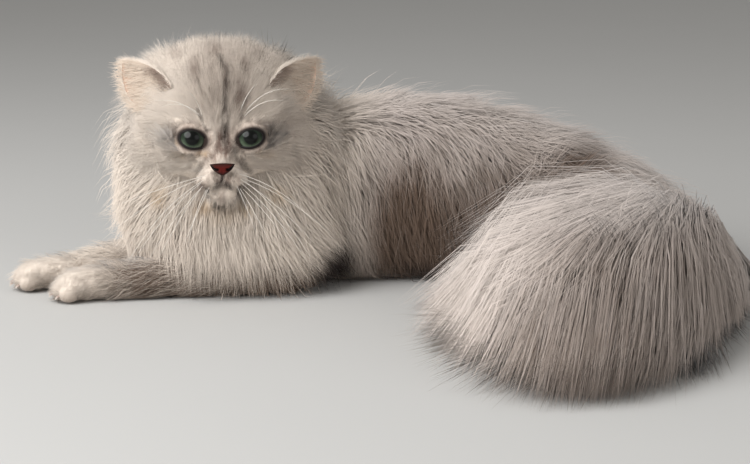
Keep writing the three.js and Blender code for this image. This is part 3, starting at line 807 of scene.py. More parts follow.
def face_colour(finish, colours, made, root, draw):
    """The markings of the head, over the coat's, with some painted shade on the muzzle and round the eyes.
    """
    turn = {"rotation_type": "EULER_XYZ", "invert": True}
    off = finish.vectors("SUBTRACT", root, tuple(HEAD_AT))
    local = finish.turned(off, turn, {"Rotation": (HEAD_PITCH, 0, HEAD_YAW)})
    x, y, z = finish.parts(local)
    flat = finish.level(x, z)
    front = 1 - y.rise(-14, 6)
    streaks = finish.vectors("MULTIPLY", local, (1, 1, 0.3))
    grain = 0.3 + 0.7 * finish.cloud(streaks, 3.5, 3.0, 0.65).rise(0.3, 0.65)
    strength = grain * (0.7 + 0.6 * draw)

    def blots(marks):
        return [
            finish.blot(flat, (middle[0], 0, middle[1]), (reach[0], 60, reach[1])) * share
            for middle, reach, share in marks
        ]

    # How far from the middle of the nearer eye, in half-widths of its opening.
    rims = []
    for side in (-1, 1):
        off = finish.vectors("SUBTRACT", flat, (side * EYE_AT[0], 0, EYE_AT[2]))
        off = finish.turned(off, {"rotation_type": "Y_AXIS"}, {"Angle": side * LID["tilt"]})
        rims.append(finish.length(finish.vectors("DIVIDE", off, (LID["wide"], 1, LID["high"]))))
    rim = rims[0].least(rims[1])

    mauve = reduce(Term.most, [(1 - rim.rise(1.2, 2.6)) * 0.8, *blots(CROWN_BLOTS)])
    mauve = (mauve * strength).clamped() * (1 - y.rise(-4, 30))
    # The ring round the eyes is darkened again, partly the taupe fur there and partly painted shade on the
    # lids' bulge, which the light catches.
    mauve = mauve.most((1 - rim.rise(1.3, 2.3)) * 0.56 * front)
    made = finish.mix(mauve, made, colours.mauve)
    warm = reduce(Term.most, blots(OCHRE_BLOTS))
    made = finish.mix((warm * strength).clamped() * front, made, colours.ochre)
    lines = reduce(Term.most, [
        finish.stroke(flat, (start[0], 0, start[1]), (end[0], 0, end[1]), wide) * share
        for start, end, wide, share in FACE_LINES
    ])
    lines = (lines * strength).clamped().most(1 - rim.rise(1.1, 1.5))
    return finish.mix(lines * front, made, colours.dark)


def coat_finish(name, colours, rough=0.62):
    """Fur: soft, hardly glossy, with a faint sheen."""
    finish = Finish(name, Specular_IOR_Level=0.2, Sheen_Weight=0.3, Sheen_Roughness=0.5)
    finish.set(Base_Color=coat_colour(finish, colours))
    finish.set(Roughness=rough + 0.18 * finish.number("draw"))
    return finish


def skin_finish(colours):
    """The short dense undercoat that shows between the tufts."""
    finish = coat_finish("undercoat", colours, 0.7)
    stretched = finish.vectors("MULTIPLY", finish.vector("root"), (1, 1, 0.35))
    finish.bump(finish.cloud(stretched, 1.6, 4.0, 0.65), 0.6, 0.0015)
    return finish.material


def build_skin(context):
    """Joins the forms to one skin and smooths it, with the lids laid on."""
    vertices, faces = [], []
    for form in flesh().values():
        points, corners = form.shell()
        start = sum(len(v) for v in vertices)
        vertices.append(points)
        faces += [tuple(start + corner for corner in face) for face in corners]
    finish = skin_finish(context.scene.cat_colours)
    joined = add_mesh("joined", np.vstack(vertices), faces, finish)
    remesh = joined.modifiers.new("Remesh", "REMESH")
    remesh.mode = "VOXEL"
    remesh.voxel_size = context.scene.cat_sizes.skin_edge
    soften = joined.modifiers.new("Soften", "SMOOTH")
    soften.factor = 0.5
    soften.iterations = 5
    ready = joined.evaluated_get(context.evaluated_depsgraph_get())
    mesh = bpy.data.meshes.new_from_object(ready)
    bpy.data.objects.remove(joined)

    places = own_place(mesh)
    places[:, 2] = np.maximum(places[:, 2], SKIN_LOW)
    corners = [tuple(face.vertices) for face in mesh.polygons]
    for side in (-1, 1):
        lids, sides = ring_shell(lid_grid(side), eye_middle(side), 0.94, len(places))
        places = np.vstack([places, lids])
        corners += sides
    skin = add_mesh("skin", places, corners, finish, "silver_fur")
    note(skin.data, "root", places)
    note(skin.data, "along", np.full(len(places), 0.3))
    note(skin.data, "draw", np.full(len(places), 0.5))
    tail = tail_line().at(np.linspace(0, 1, 60))
    tree = KDTree(len(tail))
    for number, point in enumerate(tail):
        tree.insert(point, number)
    tree.balance()
    gap = np.array([tree.find(point)[2] for point in places.tolist()])
    note(skin.data, "shade", 0.75 * (1 - smooth(34, 46, gap)))
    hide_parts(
        "head", "neck_ruff", "torso", "foreleg_left", "foreleg_right", "forepaw_left",
        "forepaw_right", "hindleg_left", "hindleg_right", "hindpaw_left", "hindpaw_right",
        "tail_base", "tail_middle", "tail_tip",
    )


def tuft_mesh(name, tufts, finish, slot):
    """Joined tufts: each is a closed three-sided taper along its strand, with a patch of the coat's map."""
    strands, outs, roots = tufts["strand"], tufts["out"], tufts["root"]
    count, knots = strands.shape[:2]
    steps = knots - 1
    before = np.concatenate([strands[:, :1], strands[:, :-2]], axis=1)
    after = strands[:, 1:]
    along = unit(after - before)
    over = np.repeat(outs[:, None], steps, axis=1)
    side = unit(np.cross(along, over))
    over = np.cross(side, along)
    share = np.arange(steps) / steps
    thick = (0.75 + 0.7 * share) * (1 - share**2.4)
    radius = tufts["wide"][:, None, None] / 2 * thick[None, :, None]
    rings, normals = [], []
    for corner in range(3):
        angle = math.pi / 2 + corner * 2 * math.pi / 3
        way = side * math.cos(angle) + over * math.sin(angle)
        rings.append(strands[:, :-1] + radius * way)
        # The light falls on a tuft as on the skin below it, so that the coat looks soft.
        normals.append(unit(way * 0.12 + over * 0.3 + outs[:, None] * 0.7))

    def per_vertex(rings, tips):
        return np.concatenate([np.stack(rings, axis=2).reshape(count, -1, 3), tips], axis=1)

    points = per_vertex(rings, strands[:, -1:])
    normals = per_vertex(normals, outs[:, None])

    each = 3 * steps + 1
    faces = [(0, 1, 2)]
    for step in range(steps - 1):
        for corner in range(3):
            a, b = 3 * step + corner, 3 * step + (corner + 1) % 3
            faces.append((a, a + 3, b + 3, b))
    for corner in range(3):
        a, b = 3 * (steps - 1) + corner, 3 * (steps - 1) + (corner + 1) % 3
        faces.append((a, each - 1, b))
    loops = np.concatenate([np.array(face) for face in faces])
    starts = np.cumsum([0] + [len(face) for face in faces[:-1]])
    all_loops = (loops[None] + each * np.arange(count)[:, None]).ravel()
    all_starts = (starts[None] + len(loops) * np.arange(count)[:, None]).ravel()

    mesh = bpy.data.meshes.new(name)
    mesh.vertices.add(count * each)
    mesh.vertices.foreach_set("co", place(points).astype(np.float32).ravel())
    mesh.loops.add(len(all_loops))
    mesh.loops.foreach_set("vertex_index", all_loops.astype(np.int32))
    mesh.polygons.add(len(all_starts))
    mesh.polygons.foreach_set("loop_start", all_starts.astype(np.int32))
    mesh.polygons.foreach_set("use_smooth", np.ones(len(all_starts), bool))
    mesh.update(calc_edges=True)

    def by_knot(values):
        return np.concatenate([np.repeat(values[:, :-1], 3, axis=1), values[:, -1:]], axis=1)

    length_share = np.append(np.repeat(share, 3), 1)
    marked = by_knot(roots[:, None] + MARKS_FOLLOW * (strands - roots[:, None]))
    note(mesh, "root", marked.reshape(-1, 3))
    note(mesh, "along", np.tile(length_share, count))
    note(mesh, "draw", np.repeat(tufts["draw"], each))
    if "shade" in tufts:
        note(mesh, "shade", by_knot(tufts["shade"]).ravel())
    across = np.append(np.tile((-PATCH / 2, 0, PATCH / 2), steps), 0)
    patch = np.stack([across, (length_share - 0.5) * PATCH], axis=-1)
    map_points = tufts["spot"][:, None] + patch[None]
    layer = mesh.uv_layers.new(name="OFBake")
    layer.uv.foreach_set("vector", map_points.reshape(-1, 2)[all_loops].astype(np.float32).ravel())
    mesh.normals_split_custom_set_from_vertices(normals.reshape(-1, 3).tolist())
    mesh.materials.append(finish)
    return linked(name, mesh, slot)


# A tuft's length, width, height over the skin, fall under its own weight and hold on the skin.
HAIR = {"long": 30, "wide": 1, "rise": 8, "fall": 0.3, "cling": 1.0}


class Coat:
    """Tufts in the making: their roots, the way each starts and how long, wide and high it is."""

    def __init__(self, rng):
        self.rng = rng
        self.fields = {}

    def add(self, form, per_cm2, thin=None, lie=None, keep=3.0, fits=None, **hair):
        """Roots over a form where it shows as skin, with hair as numbers or as functions of the place."""
        at, forward, spot = form.spread(per_cm2, self.rng, thin)
        near, out = skin_surface().nearest(at)
        shows = np.linalg.norm(near - at, axis=1) < keep
        if fits is not None:
            shows &= fits(near, out)
        near, out = near[shows], out[shows]
        way = lie(near, out) if lie else forward[shows]
        values = {"root": near, "out": out, "way": way, "spot": spot[shows]}
        for name, value in {**HAIR, **hair}.items():
            values[name] = value(near) if callable(value) else np.full(len(near), float(value))
        for name, value in values.items():
            self.fields.setdefault(name, []).append(value)

    def comb(self, steps, stray, wave):
        """Grows the strands over the skin: they lean out from their roots, lie on and fall."""
        hairs = {name: np.concatenate(parts) for name, parts in self.fields.items()}
        rng = self.rng
        count = len(hairs["root"])
        surface = skin_surface()
        way = unit(hairs["way"] + rng.normal(0, stray, (count, 3)))
        way = unit(way - hairs["out"] * dot(way, hairs["out"]) * hairs["cling"][:, None])
        at = hairs["root"] - hairs["out"] * ROOT_DEEP
        long = hairs["long"] * rng.uniform(0.72, 1.15, count)
        rise = hairs["rise"] * rng.uniform(0.4, 1.15, count)
        strand = [at]
        swing = rng.normal(0, 1, (count, 3))
        for step in range(1, steps + 1):
            share = step / steps
            way = unit(way + DOWN * (hairs["fall"] * share)[:, None] + swing * wave * share)
            at = at + way * (long / steps)[:, None]
            near, out = surface.nearest(at)
            height = dot(at - near, out)[:, 0]
            want = rise * math.sin(share * math.pi / 2)
            push = np.where(height < want, want - height, (want - height) * hairs["cling"])
            at = at + out * push[:, None]
            way = unit(way - out * dot(way, out) * hairs["cling"][:, None])
            # Strands that come down to the floor lie on it at different heights.
            at[:, 2] = np.maximum(at[:, 2], 0.8 + 2.5 * rng.random(count))
            strand.append(at)
        hairs["strand"] = np.stack(strand, axis=1)
        hairs["draw"] = rng.random(count)
        return hairs


def clump(hairs, rng, each, tight, sway):
    """Draws the tips of neighbouring strands together, each strands to a lock, and bends each lock."""
    count = len(hairs["root"])
    locks = max(2, int(count / max(1.0, each)))
    chosen = rng.choice(count, locks, replace=False)
    tree = KDTree(locks)
    for number, index in enumerate(chosen):
        tree.insert(hairs["root"][index], number)
    tree.balance()
    own = np.array([tree.find(point)[1] for point in hairs["root"].tolist()])
    leader = hairs["strand"][chosen[own]]
    knots = hairs["strand"].shape[1]
    along = (np.arange(knots) / (knots - 1)) ** 1.2
    pull = tight * rng.uniform(0.4, 1.3, locks)[own]
    pull = np.clip(pull, 0, 0.95)[:, None, None] * along[None, :, None]
    leader = leader + (hairs["root"] - hairs["root"][chosen[own]])[:, None] * 0.25
    bend = rng.normal(0, 1, (locks, 3))[own] * sway
    drawn = (leader - hairs["strand"]) * pull
    hairs["strand"] = hairs["strand"] + drawn + bend[:, None] * along[None, :, None] ** 1.5
    hairs["draw"] = 0.6 * hairs["draw"] + 0.4 * rng.random(locks)[own]


def held_in(strands):
    """Strands drawn back towards their roots where they would leave the room that the model has."""
    low, high = ROOM[0] - SPARE, ROOM[1] + SPARE
    root = strands[:, :1]
    off = strands - root
    beyond = np.maximum(off / (high - root), off / (low - root))
    share = 1 / np.maximum(beyond.max(axis=(1, 2)), 1)
    made = root + off * share[:, None, None]
    made[..., 2] = np.maximum(made[..., 2], HAIR_LOW)
    return made


def coat_pieces(name, hairs, finish, slot):
    """The tufts as joined meshes, each under the limit of triangles, parted along the cat."""
    each = 6 * (hairs["strand"].shape[1] - 1) - 2
    pieces = math.ceil(len(hairs["root"]) / (PIECE_TRIANGLES // each))
    hairs["strand"] = held_in(hairs["strand"])
    order = np.argsort(hairs["root"][:, 0])
    for number, chosen in enumerate(np.array_split(order, pieces)):
        part = {field: values[chosen] for field, values in hairs.items()}
        tuft_mesh(f"{name}_{number + 1}", part, finish, slot)


def grow(name, coat, locks, finish, slot, steps, stray, wave=0.03):
    """Combs a coat, draws it together in locks of ever fewer strands and makes its pieces."""
    hairs = coat.comb(steps, stray, wave)
    for each, tight, sway in locks:
        clump(hairs, coat.rng, each, tight, sway)
    coat_pieces(name, hairs, finish, slot)


def eye_distance(local):
    """How far a point of the head is from the nearer eye's rim, in half-widths of its opening."""
    best = None
    for side in (-1, 1):
        off = local - EYE_AT * (side, 1, 1)
        tilt = LID["tilt"] * side
        across = off[:, 0] * math.cos(tilt) + off[:, 2] * math.sin(tilt)
        high = -off[:, 0] * math.sin(tilt) + off[:, 2] * math.cos(tilt)
        oval = np.hypot(across / LID["wide"], high / LID["high"])
        oval = np.where(local[:, 1] < -8, oval, 9)
        best = oval if best is None else np.minimum(best, oval)
    return best


def face_lie(near, out):
    """The lie of the head's coat: away from the nose, round the eyes and back over the crown and cheeks."""
    local = to_head(near)
    way = unit(np.stack([local[:, 0], np.zeros(len(local)), local[:, 2] - NOSE_AT[2]], axis=-1))
    sag = smooth(12, 45, np.abs(local[:, 0])) * (1 - smooth(-5, 30, local[:, 2]))
    way[:, 2] -= 0.6 * sag
    apart = smooth(22, 48, np.abs(local[:, 0])) * smooth(0, 25, local[:, 2])
    way[:, 0] += 0.9 * np.sign(local[:, 0]) * apart
    way[:, 1] += 0.35 - 0.3 * sag
    for side in (-1, 1):
        off = local - EYE_AT * (side, 1, 1)
        off[:, 1] = 0
        oval = np.hypot(off[:, 0] / LID["wide"], off[:, 2] / LID["high"])
        near_eye = np.exp(-((np.maximum(oval - 1.1, 0) / 0.5) ** 2))[:, None]
        way = way * (1 - near_eye) + unit(off) * near_eye
    return unit(way @ HEAD_TURN.T)


def face_long(near):
    """Short on the nose and round the eyes, longest at the cheeks and beside the ears."""
    local = to_head(near)
    from_nose = np.hypot(local[:, 0], local[:, 2] - NOSE_AT[2])
    base = 5.0 + 0.30 * np.maximum(0, from_nose - 12)
    base = base + 9 * smooth(-12, 15, local[:, 1])
    base = base + 3 * smooth(10, 16, from_nose) * smooth(-30, -36, local[:, 2])
    cheek = smooth(14, 42, np.abs(local[:, 0])) * (1 - smooth(-22, 4, local[:, 2]))
    chin = 1 - smooth(-54, -42, local[:, 2])
    by_ear = smooth(26, 44, np.abs(local[:, 0])) * smooth(18, 34, local[:, 2])
    beside = smooth(26, 50, np.abs(local[:, 0])) * smooth(-30, -10, local[:, 2])
    base = base + 24 * cheek + 13 * chin + 8 * by_ear + 7 * beside
    by_eye = 0.45 + 0.55 * smooth(1.1, 2.2, eye_distance(local))
    return np.clip(base * by_eye, 2.8, 46)


def face_rise(near):
    """Close to the skin round the eyes, highest on the crown."""
    local = to_head(near)
    by_eye = 0.15 + 0.85 * smooth(1.05, 1.6, eye_distance(local))
    crown = smooth(22, 40, np.abs(local[:, 0])) * smooth(22, 36, local[:, 2])
    lift = 0.42 + 0.3 * crown + 0.25 * smooth(34, 50, local[:, 2])
    return 0.35 + (0.5 + lift * np.maximum(face_long(near) - 3, 0)) * by_eye


def face_wide(near):
    """Thicker where it is longer."""
    return 0.3 + 0.012 * face_long(near)


def clear_of_eyes(points):
    """Where the face's coat may grow: outside the lids' edges and off the nose leather."""
    local = to_head(points)
    nose = np.abs(local[:, 0]) < 8.2 - 0.9 * np.maximum(0, -28.5 - local[:, 2])
    nose &= (np.abs(local[:, 2] + 31) < 4.8) & (local[:, 1] < -44)
    return (eye_distance(local) > 1.13) & ~nose


def fits_face(near, out):
    """Off the eyes' rims and not on the hidden side of a lid."""
    free = clear_of_eyes(near) & ((out[:, 2] > -0.6) | (near[:, 2] > HEAD_AT[2] - 30))
    for side in (-1, 1):
        off = near - eye_middle(side)
        free &= (np.linalg.norm(off, axis=1) > 14) | (dot(unit(off), out)[:, 0] > 0.2)
    return free


def face_thin(points):
    """How dense the face's coat is: finest in front, none on the eyes and the nose leather."""
    fine = 1 + 2.2 * (1 - smooth(-30, -5, to_head(points)[:, 1]))
    return fine * clear_of_eyes(points)


def grow_face(context):
    """The short fine coat of the head and the lids."""
    sizes = context.scene.cat_sizes
    coat = Coat(np.random.default_rng(sizes.seed))
    hair = {"fits": fits_face, "long": face_long, "wide": face_wide, "rise": face_rise}
    for name in ("skull", "bridge", "pad_left", "pad_right", "chin"):
        coat.add(flesh()[name], sizes.face_density, face_thin, face_lie, 2.2, fall=0.12, **hair)
    for side in (-1, 1):
        lids = Form("lids", lid_grid(side)[3:], (0.45 + 0.1 * side, 0.91, 0.1, 0.09))
        coat.add(lids, sizes.face_density * 2, face_thin, face_lie, 1.5, fall=0, **hair)
    finish = coat_finish("face_coat", context.scene.cat_colours).material
    grow("face_coat", coat, [(40, 0.3, 1.0), (9, 0.25, 0.4)], finish, "face_fur", 1, 0.2)


def ruff_lie(near, out):
    """Out from under the face and down, straight down on the bib and back behind the ears."""
    off = near - (RUFF_AT + (0, 0, 30))
    way = unit(off * (1, 0, 1)) + (0, 0.45, 0)
    way[:, 2] -= 0.75
    return unit(way)


def grow_ruff(context):
    """Coarse tufts below, finer ones over them and a few loose long ones on top."""
    sizes = context.scene.cat_sizes
    rng = np.random.default_rng(sizes.seed + 1)
    finish = coat_finish("ruff_coat", context.scene.cat_colours).material
    coat, top = Coat(rng), Coat(rng)

    def add(kind, share, reach, wide, rise, cling):
        per_cm2, long = sizes.ruff_density * share, sizes.ruff_long * MM * reach
        kind.add(flesh()["ruff"], per_cm2, None, ruff_lie, long=long, wide=wide, rise=rise, cling=cling)

    add(coat, 0.22, 1, 1.15, 17, 0.85)
    add(coat, 0.78, 1, 0.46, 25, 0.75)
    grow("ruff_coat", coat, [(220, 0.3, 4.0), (26, 0.14, 0.9)], finish, "ruff_fur", 2, 0.28, 0.1)
    add(top, 0.09, 1.1, 0.36, 32, 0.6)
    grow("ruff_top_coat", top, [(30, 0.3, 4.0)], finish, "ruff_fur", 3, 0.3, 0.14)


def body_lie(near, out):
    """Back towards the rump, and down on the flanks."""
    beside = np.abs(out[:, 1])
    way = np.zeros_like(near)
    way[:, 0] = 1 - 0.75 * beside * (1 - smooth(150, 220, near[:, 0]))
    way[:, 1] = 0.25 * np.sign(out[:, 1])
    way[:, 2] = -0.1 - 1.2 * beside
    return unit(way)


def body_shows(points):
    """Where the body's coat is seen: not under the belly, and thinner on the side away from the tail."""
    return np.where(points[:, 2] > 6, 1.0, 0.0) * (1 - 0.45 * smooth(45, 65, points[:, 1]))


def grow_body(context):
    """The coat of the back, flanks and haunches, in the ruff's three layers."""
    sizes = context.scene.cat_sizes
    rng = np.random.default_rng(sizes.seed + 2)
    finish = coat_finish("body_coat", context.scene.cat_colours).material
    coat, top = Coat(rng), Coat(rng)
    layers = (
        (coat, 0.25, 1, 1.2, 15, 0.9),
        (coat, 0.75, 1, 0.48, 20, 0.8),
        (top, 0.1, 1.1, 0.36, 25, 0.65),
    )
    for name in ("torso", "haunch_left", "haunch_right"):
        for kind, share, reach, wide, rise, cling in layers:
            long = sizes.body_long * MM * reach
            hair = {"long": long, "wide": wide, "rise": rise, "fall": 0.2, "cling": cling}
            kind.add(flesh()[name], sizes.body_density * share, body_shows, body_lie, **hair)
    grow("body_coat", coat, [(150, 0.3, 3.8), (20, 0.15, 1.0)], finish, "silver_fur", 2, 0.28, 0.12)
    grow("body_top_coat", top, [(20, 0.3, 3.5)], finish, "silver_fur", 3, 0.3, 0.16)


def off_the_floor(points):
    """Where a leg's coat is seen."""
    return np.where(points[:, 2] > 2, 1.0, 0.0)


def leg_long(near):
    """Longest at the elbow."""
    return 15 + 17 * smooth(-215, -130, near[:, 0])


def grow_legs(context):
    """The forearms' coat, and the short one of all four paws."""
    sizes = context.scene.cat_sizes
    rng = np.random.default_rng(sizes.seed + 3)
    finish = coat_finish("leg_coat", context.scene.cat_colours).material
    coat, paws = Coat(rng), Coat(rng)
    for name in ("forearm_left", "forearm_right"):
        hair = {"long": leg_long, "wide": 0.4, "rise": 8.5, "fall": 0.25, "cling": 0.9}
        coat.add(flesh()[name], sizes.leg_density * 2.8, off_the_floor, **hair)
    for name, form in flesh().items():
        if name.startswith(("palm", "foot", "toe", "hind_toe")):
            hair = {"long": 12, "wide": 0.36, "rise": 4.2, "fall": 0.12}
            paws.add(form, sizes.leg_density * 4.5, off_the_floor, keep=1.6, **hair)
    grow("leg_coat", coat, [(40, 0.25, 2.0)], finish, "leg_fur", 2, 0.28, 0.12)
    grow("paw_coat", paws, [(24, 0.25, 1.2)], finish, "leg_fur", 1, 0.3)


# The plume's edge, seen from above: the hair of the tail reaches out to it.
PLUME_EDGE = [
    (60, -92), (40, -125), (32, -175), (30, -250), (44, -330), (92, -356), (150, -350), (200, -296),
    (232, -228), (254, -166), (270, -110), (280, -55), (278, 0), (262, 45), (215, 60), (150, 0),
]


def edge_distance(at, way):
    """How far the plume's edge is from each place, along each level way."""
    start = np.array(PLUME_EDGE, float)
    side = np.roll(start, -1, axis=0) - start
    off = start[None] - at[:, None]
    cross = way[:, None, 0] * side[None, :, 1] - way[:, None, 1] * side[None, :, 0]
    cross = np.where(np.abs(cross) < 1e-9, 1e-9, cross)
    far = (off[..., 0] * side[None, :, 1] - off[..., 1] * side[None, :, 0]) / cross
    share = (off[..., 0] * way[:, None, 1] - off[..., 1] * way[:, None, 0]) / cross
    far = np.where((share >= 0) & (share <= 1) & (far > 0), far, 400)
    return far.min(axis=1)


def tail_line():
    """The line of the tail's bone."""
    return Curve(np.array(TAIL, float)[:, :3])


def tail_shows(points):
    """Where the tail's coat is seen, thickest at its tip."""
    to_tip = np.linalg.norm(points - tail_line().stations[-1], axis=1)
    return off_the_floor(points) * (1 + 2.2 * (1 - smooth(35, 85, to_tip)))


def grow_tail(context):
    """The plume: hair that rises from the tail and falls in arcs to both sides and past its tip."""
    sizes = context.scene.cat_sizes
    rng = np.random.default_rng(sizes.seed + 4)
    steps = np.linspace(0, 1, 80)
    spine = tail_line().at(steps)
    course = tail_line().along(steps)
    inner = unit(np.cross(DOWN, course))

    at, _, spot = flesh()["tail"].spread(sizes.tail_density, rng, tail_shows)
    near, out = skin_surface().nearest(at)
    shows = np.linalg.norm(near - at, axis=1) < 3
    near, out, spot = near[shows], out[shows], spot[shows]
    count = len(near)

    # Each hair's way: on along the tail, and to the side that its root is on.
    index = np.argmin(np.linalg.norm(near[:, None] - spine[None], axis=-1), axis=1)
    off = unit(near - spine[index])
    share = steps[index]
    beside = dot(off, inner[index])[:, 0] + rng.normal(0, 0.12, count)
    high = np.maximum(off[:, 2], 0)
    beside = beside + 0.35 * high * (1 - smooth(0.55, 0.9, share))

    base = 1 - smooth(0.2, 0.42, share)
    beside = beside - 0.5 * base * (beside > 0)
    ahead = 0.35 + 0.7 * smooth(0.25, 0.85, share) + 0.5 * smooth(0, 0.8, -beside)
    way = course[index] * ahead[:, None] + inner[index] * np.clip(beside * 1.6, -1, 1)[:, None]
    way[:, 2] = 0
    way = unit(way + rng.normal(0, 0.13, (count, 3)) * (1, 1, 0))
    leftward = smooth(0.1, 0.8, -way[:, 0])

    # How far it reaches, how high its tip ends and how high it arcs; every third hair is bedding.
    most = sizes.tail_long * MM * (1.22 - 0.35 * base)
    far = np.minimum(edge_distance(near[:, :2], way[:, :2]), most)
    long = np.maximum(far * rng.uniform(0.7, 1.08, count), 30)
    end_high = 3 + 10 * rng.random(count)
    end_high = end_high + (8 + 62 * rng.random(count)) * leftward * smooth(0.8, 0.3, share)
    arc = long * (0.07 + 0.2 * high * rng.uniform(0.5, 1.15, count)) * (1 - 0.3 * base)
    bed = rng.random(count) < 0.3
    long = np.where(bed, long * 0.9, long)
    arc = np.where(bed, arc * 0.7, arc)

    strand = []
    bend = rng.normal(0, 1, (count, 3)) * (1, 1, 0.4)
    knots = np.arange(4) / 3
    for s in knots.tolist():
        point = near - out * ROOT_DEEP * (1 - s) + way * (long * s)[:, None]
        point[:, 2] = near[:, 2] * (1 - s**1.5) + end_high * s**1.5 + 4 * arc * s * (1 - s) ** 0.8
        lift = out * (10 * math.sin(s * math.pi)) * (1 - high)[:, None]
        point += lift + bend * (0.05 * long * s * s)[:, None]
        if s:
            skin, skin_out = skin_surface().nearest(point)
            depth = dot(point - skin, skin_out)[:, 0]
            point = point + skin_out * np.clip(2.5 * s - depth, 0, 12)[:, None]
        strand.append(point)
    wide = np.where(bed, 1.4, rng.uniform(0.36, 0.62, count))
    hairs = {"root": near, "out": out, "spot": spot, "wide": wide, "strand": np.stack(strand, axis=1)}
    hairs["draw"] = rng.random(count)
    clump(hairs, rng, 160, 0.3, 7.0)
    clump(hairs, rng, 20, 0.14, 1.4)
    hairs["strand"][..., 2] = np.maximum(hairs["strand"][..., 2], 0.3 + hairs["wide"][:, None] * 0.7)
    # The plume's tone: darkest on hairs beyond the base that go left, less on those that go right, and the
    # tips of left-going hairs pale, partly their own colour and partly painted light from the upper left.
    dark = 0.46 - 0.36 * base - 0.27 * smooth(0, 0.8, way[:, 0])
    pale = 0.64 * (leftward * (1 - base))[:, None] * smooth(0.05, 0.6, knots[None])
    hairs["shade"] = dark[:, None] - pale
    finish = coat_finish("tail_coat", context.scene.cat_colours).material
    coat_pieces("tail_coat", hairs, finish, "tail_fur")


# Which way the eyes look.
LOOK = unit(np.array([0.107, -0.982, 0.154]))


def eye_finish(colours):
    """A green iris round a wide black pupil under a clear wet front, with the painted shadow of the upper
    lid over its top and painted light at its lower edge.
    """
    finish = Finish("eye", Coat_Weight=0.55, Coat_Roughness=0.02, Coat_IOR=1.33, Specular_IOR_Level=0.1)
    x, _, z = finish.parts(finish.vector("iris"))
    flat = finish.level(x, z)
    far = finish.length(flat)
    fibres = finish.cloud(finish.vectors("NORMALIZE", flat, (0, 0, 0)), 0.12, 3.0, 0.6)
    # Painted shadow of the upper lid: the iris is darker towards its top.
    lit = (1 - z.rise(-6, 4)) * 0.8 + 0.2
    iris = finish.mix(lit * (0.4 + 0.8 * fibres), (0.008, 0.013, 0.009), colours.iris)
    # Painted light caught in the iris along its lower edge.
    pale = (far.rise(5.6, 7.2) * (1 - z.rise(-6, 1)) * (0.3 + 0.5 * fibres)).clamped()
    iris = finish.mix(pale, iris, (0.16, 0.2, 0.14))
    made = finish.mix(far.rise(4.4, 6.0), (0.002, 0.0025, 0.002), iris)
    made = finish.mix(far.rise(7.8, 8.8), made, (0.004, 0.004, 0.003))
    finish.set(Base_Color=made, Roughness=0.25 + 0.1 * fibres)
    return finish.material


def rim_finish():
    """The bare dark edge of the lids, a little wet."""
    finish = Finish("eye_rim", Specular_IOR_Level=0.25)
    grain = finish.cloud(finish.vector("root"), 0.8, 3.0, 0.6)
    made = finish.mix(grain, (0.004, 0.003, 0.003), (0.014, 0.009, 0.008))
    finish.set(Base_Color=made, Roughness=0.45 + 0.2 * grain)
    finish.bump(grain, 0.3, 0.0004)
    return finish.material


def build_eyes(context):
    """Two eyeballs with raised clear fronts over painted irises, and the dark rims of their lids."""
    finish = eye_finish(context.scene.cat_colours)
    rim = rim_finish()
    side_way = unit(np.cross(LOOK, (0, 0, 1)))
    up_way = np.cross(side_way, LOOK)
    ways = ball_ways(64, 72)
    angle = np.arccos(np.clip(-ways[..., 1], -1, 1))
    radius = EYE_RADIUS - 0.35 + 1.1 * np.exp(-((angle / 0.55) ** 2))
    local = ways * radius[..., None]
    world = local[..., :1] * -side_way - local[..., 1:2] * LOOK + local[..., 2:] * up_way
    for name, side in SIDES.items():
        vertices, faces = Form("eye", eye_middle(side) + world).shell()
        eye = add_mesh(f"eyeball_{name}", vertices, turned_over(faces), finish, "eye")
        note(eye.data, "iris", Form("eye", local).shell()[0])
        edge, sides = ring_shell(lid_grid(side, proud=0.12)[:4], eye_middle(side), 0.95)
        lid = add_mesh(f"eye_rim_{name}", edge, sides, rim, "eye")
        note(lid.data, "root", edge)
        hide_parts(f"eye_{name}")


def quadratic(start, middle, end, count):
    """Points along a bend from start towards end, which is left out."""
    t = np.linspace(0, 1, count, endpoint=False)[:, None]
    start, middle, end = (np.array(point, float) for point in (start, middle, end))
    return (1 - t) ** 2 * start + 2 * t * (1 - t) * middle + t**2 * end


def nose_finish(colours):
    """Bare dark red skin, darker at its edge and its top and black in the nostrils."""
    finish = Finish("nose_leather", Specular_IOR_Level=0.12)
    spot = finish.vector("own")
    grain = finish.cloud(spot, 0.9, 3.0, 0.6)
    edge = (finish.number("edge") + 0.25 * grain).rise(0.5, 1.2)
    top = finish.parts(spot)[2].rise(0.5, 3.8) * 0.75
    made = finish.mix(grain.rise(0.3, 0.7) * 0.4, colours.nose, (0.14, 0.014, 0.009))
    made = finish.mix(edge.most(top) * 0.95, made, (0.022, 0.008, 0.006))
    made = finish.mix(finish.number("hole"), made, (0.004, 0.002, 0.002))
    finish.set(Base_Color=made, Roughness=0.34 + 0.2 * grain, Coat_Weight=0.05)
    finish.bump(grain, 0.35, 0.0005)
    return finish.material


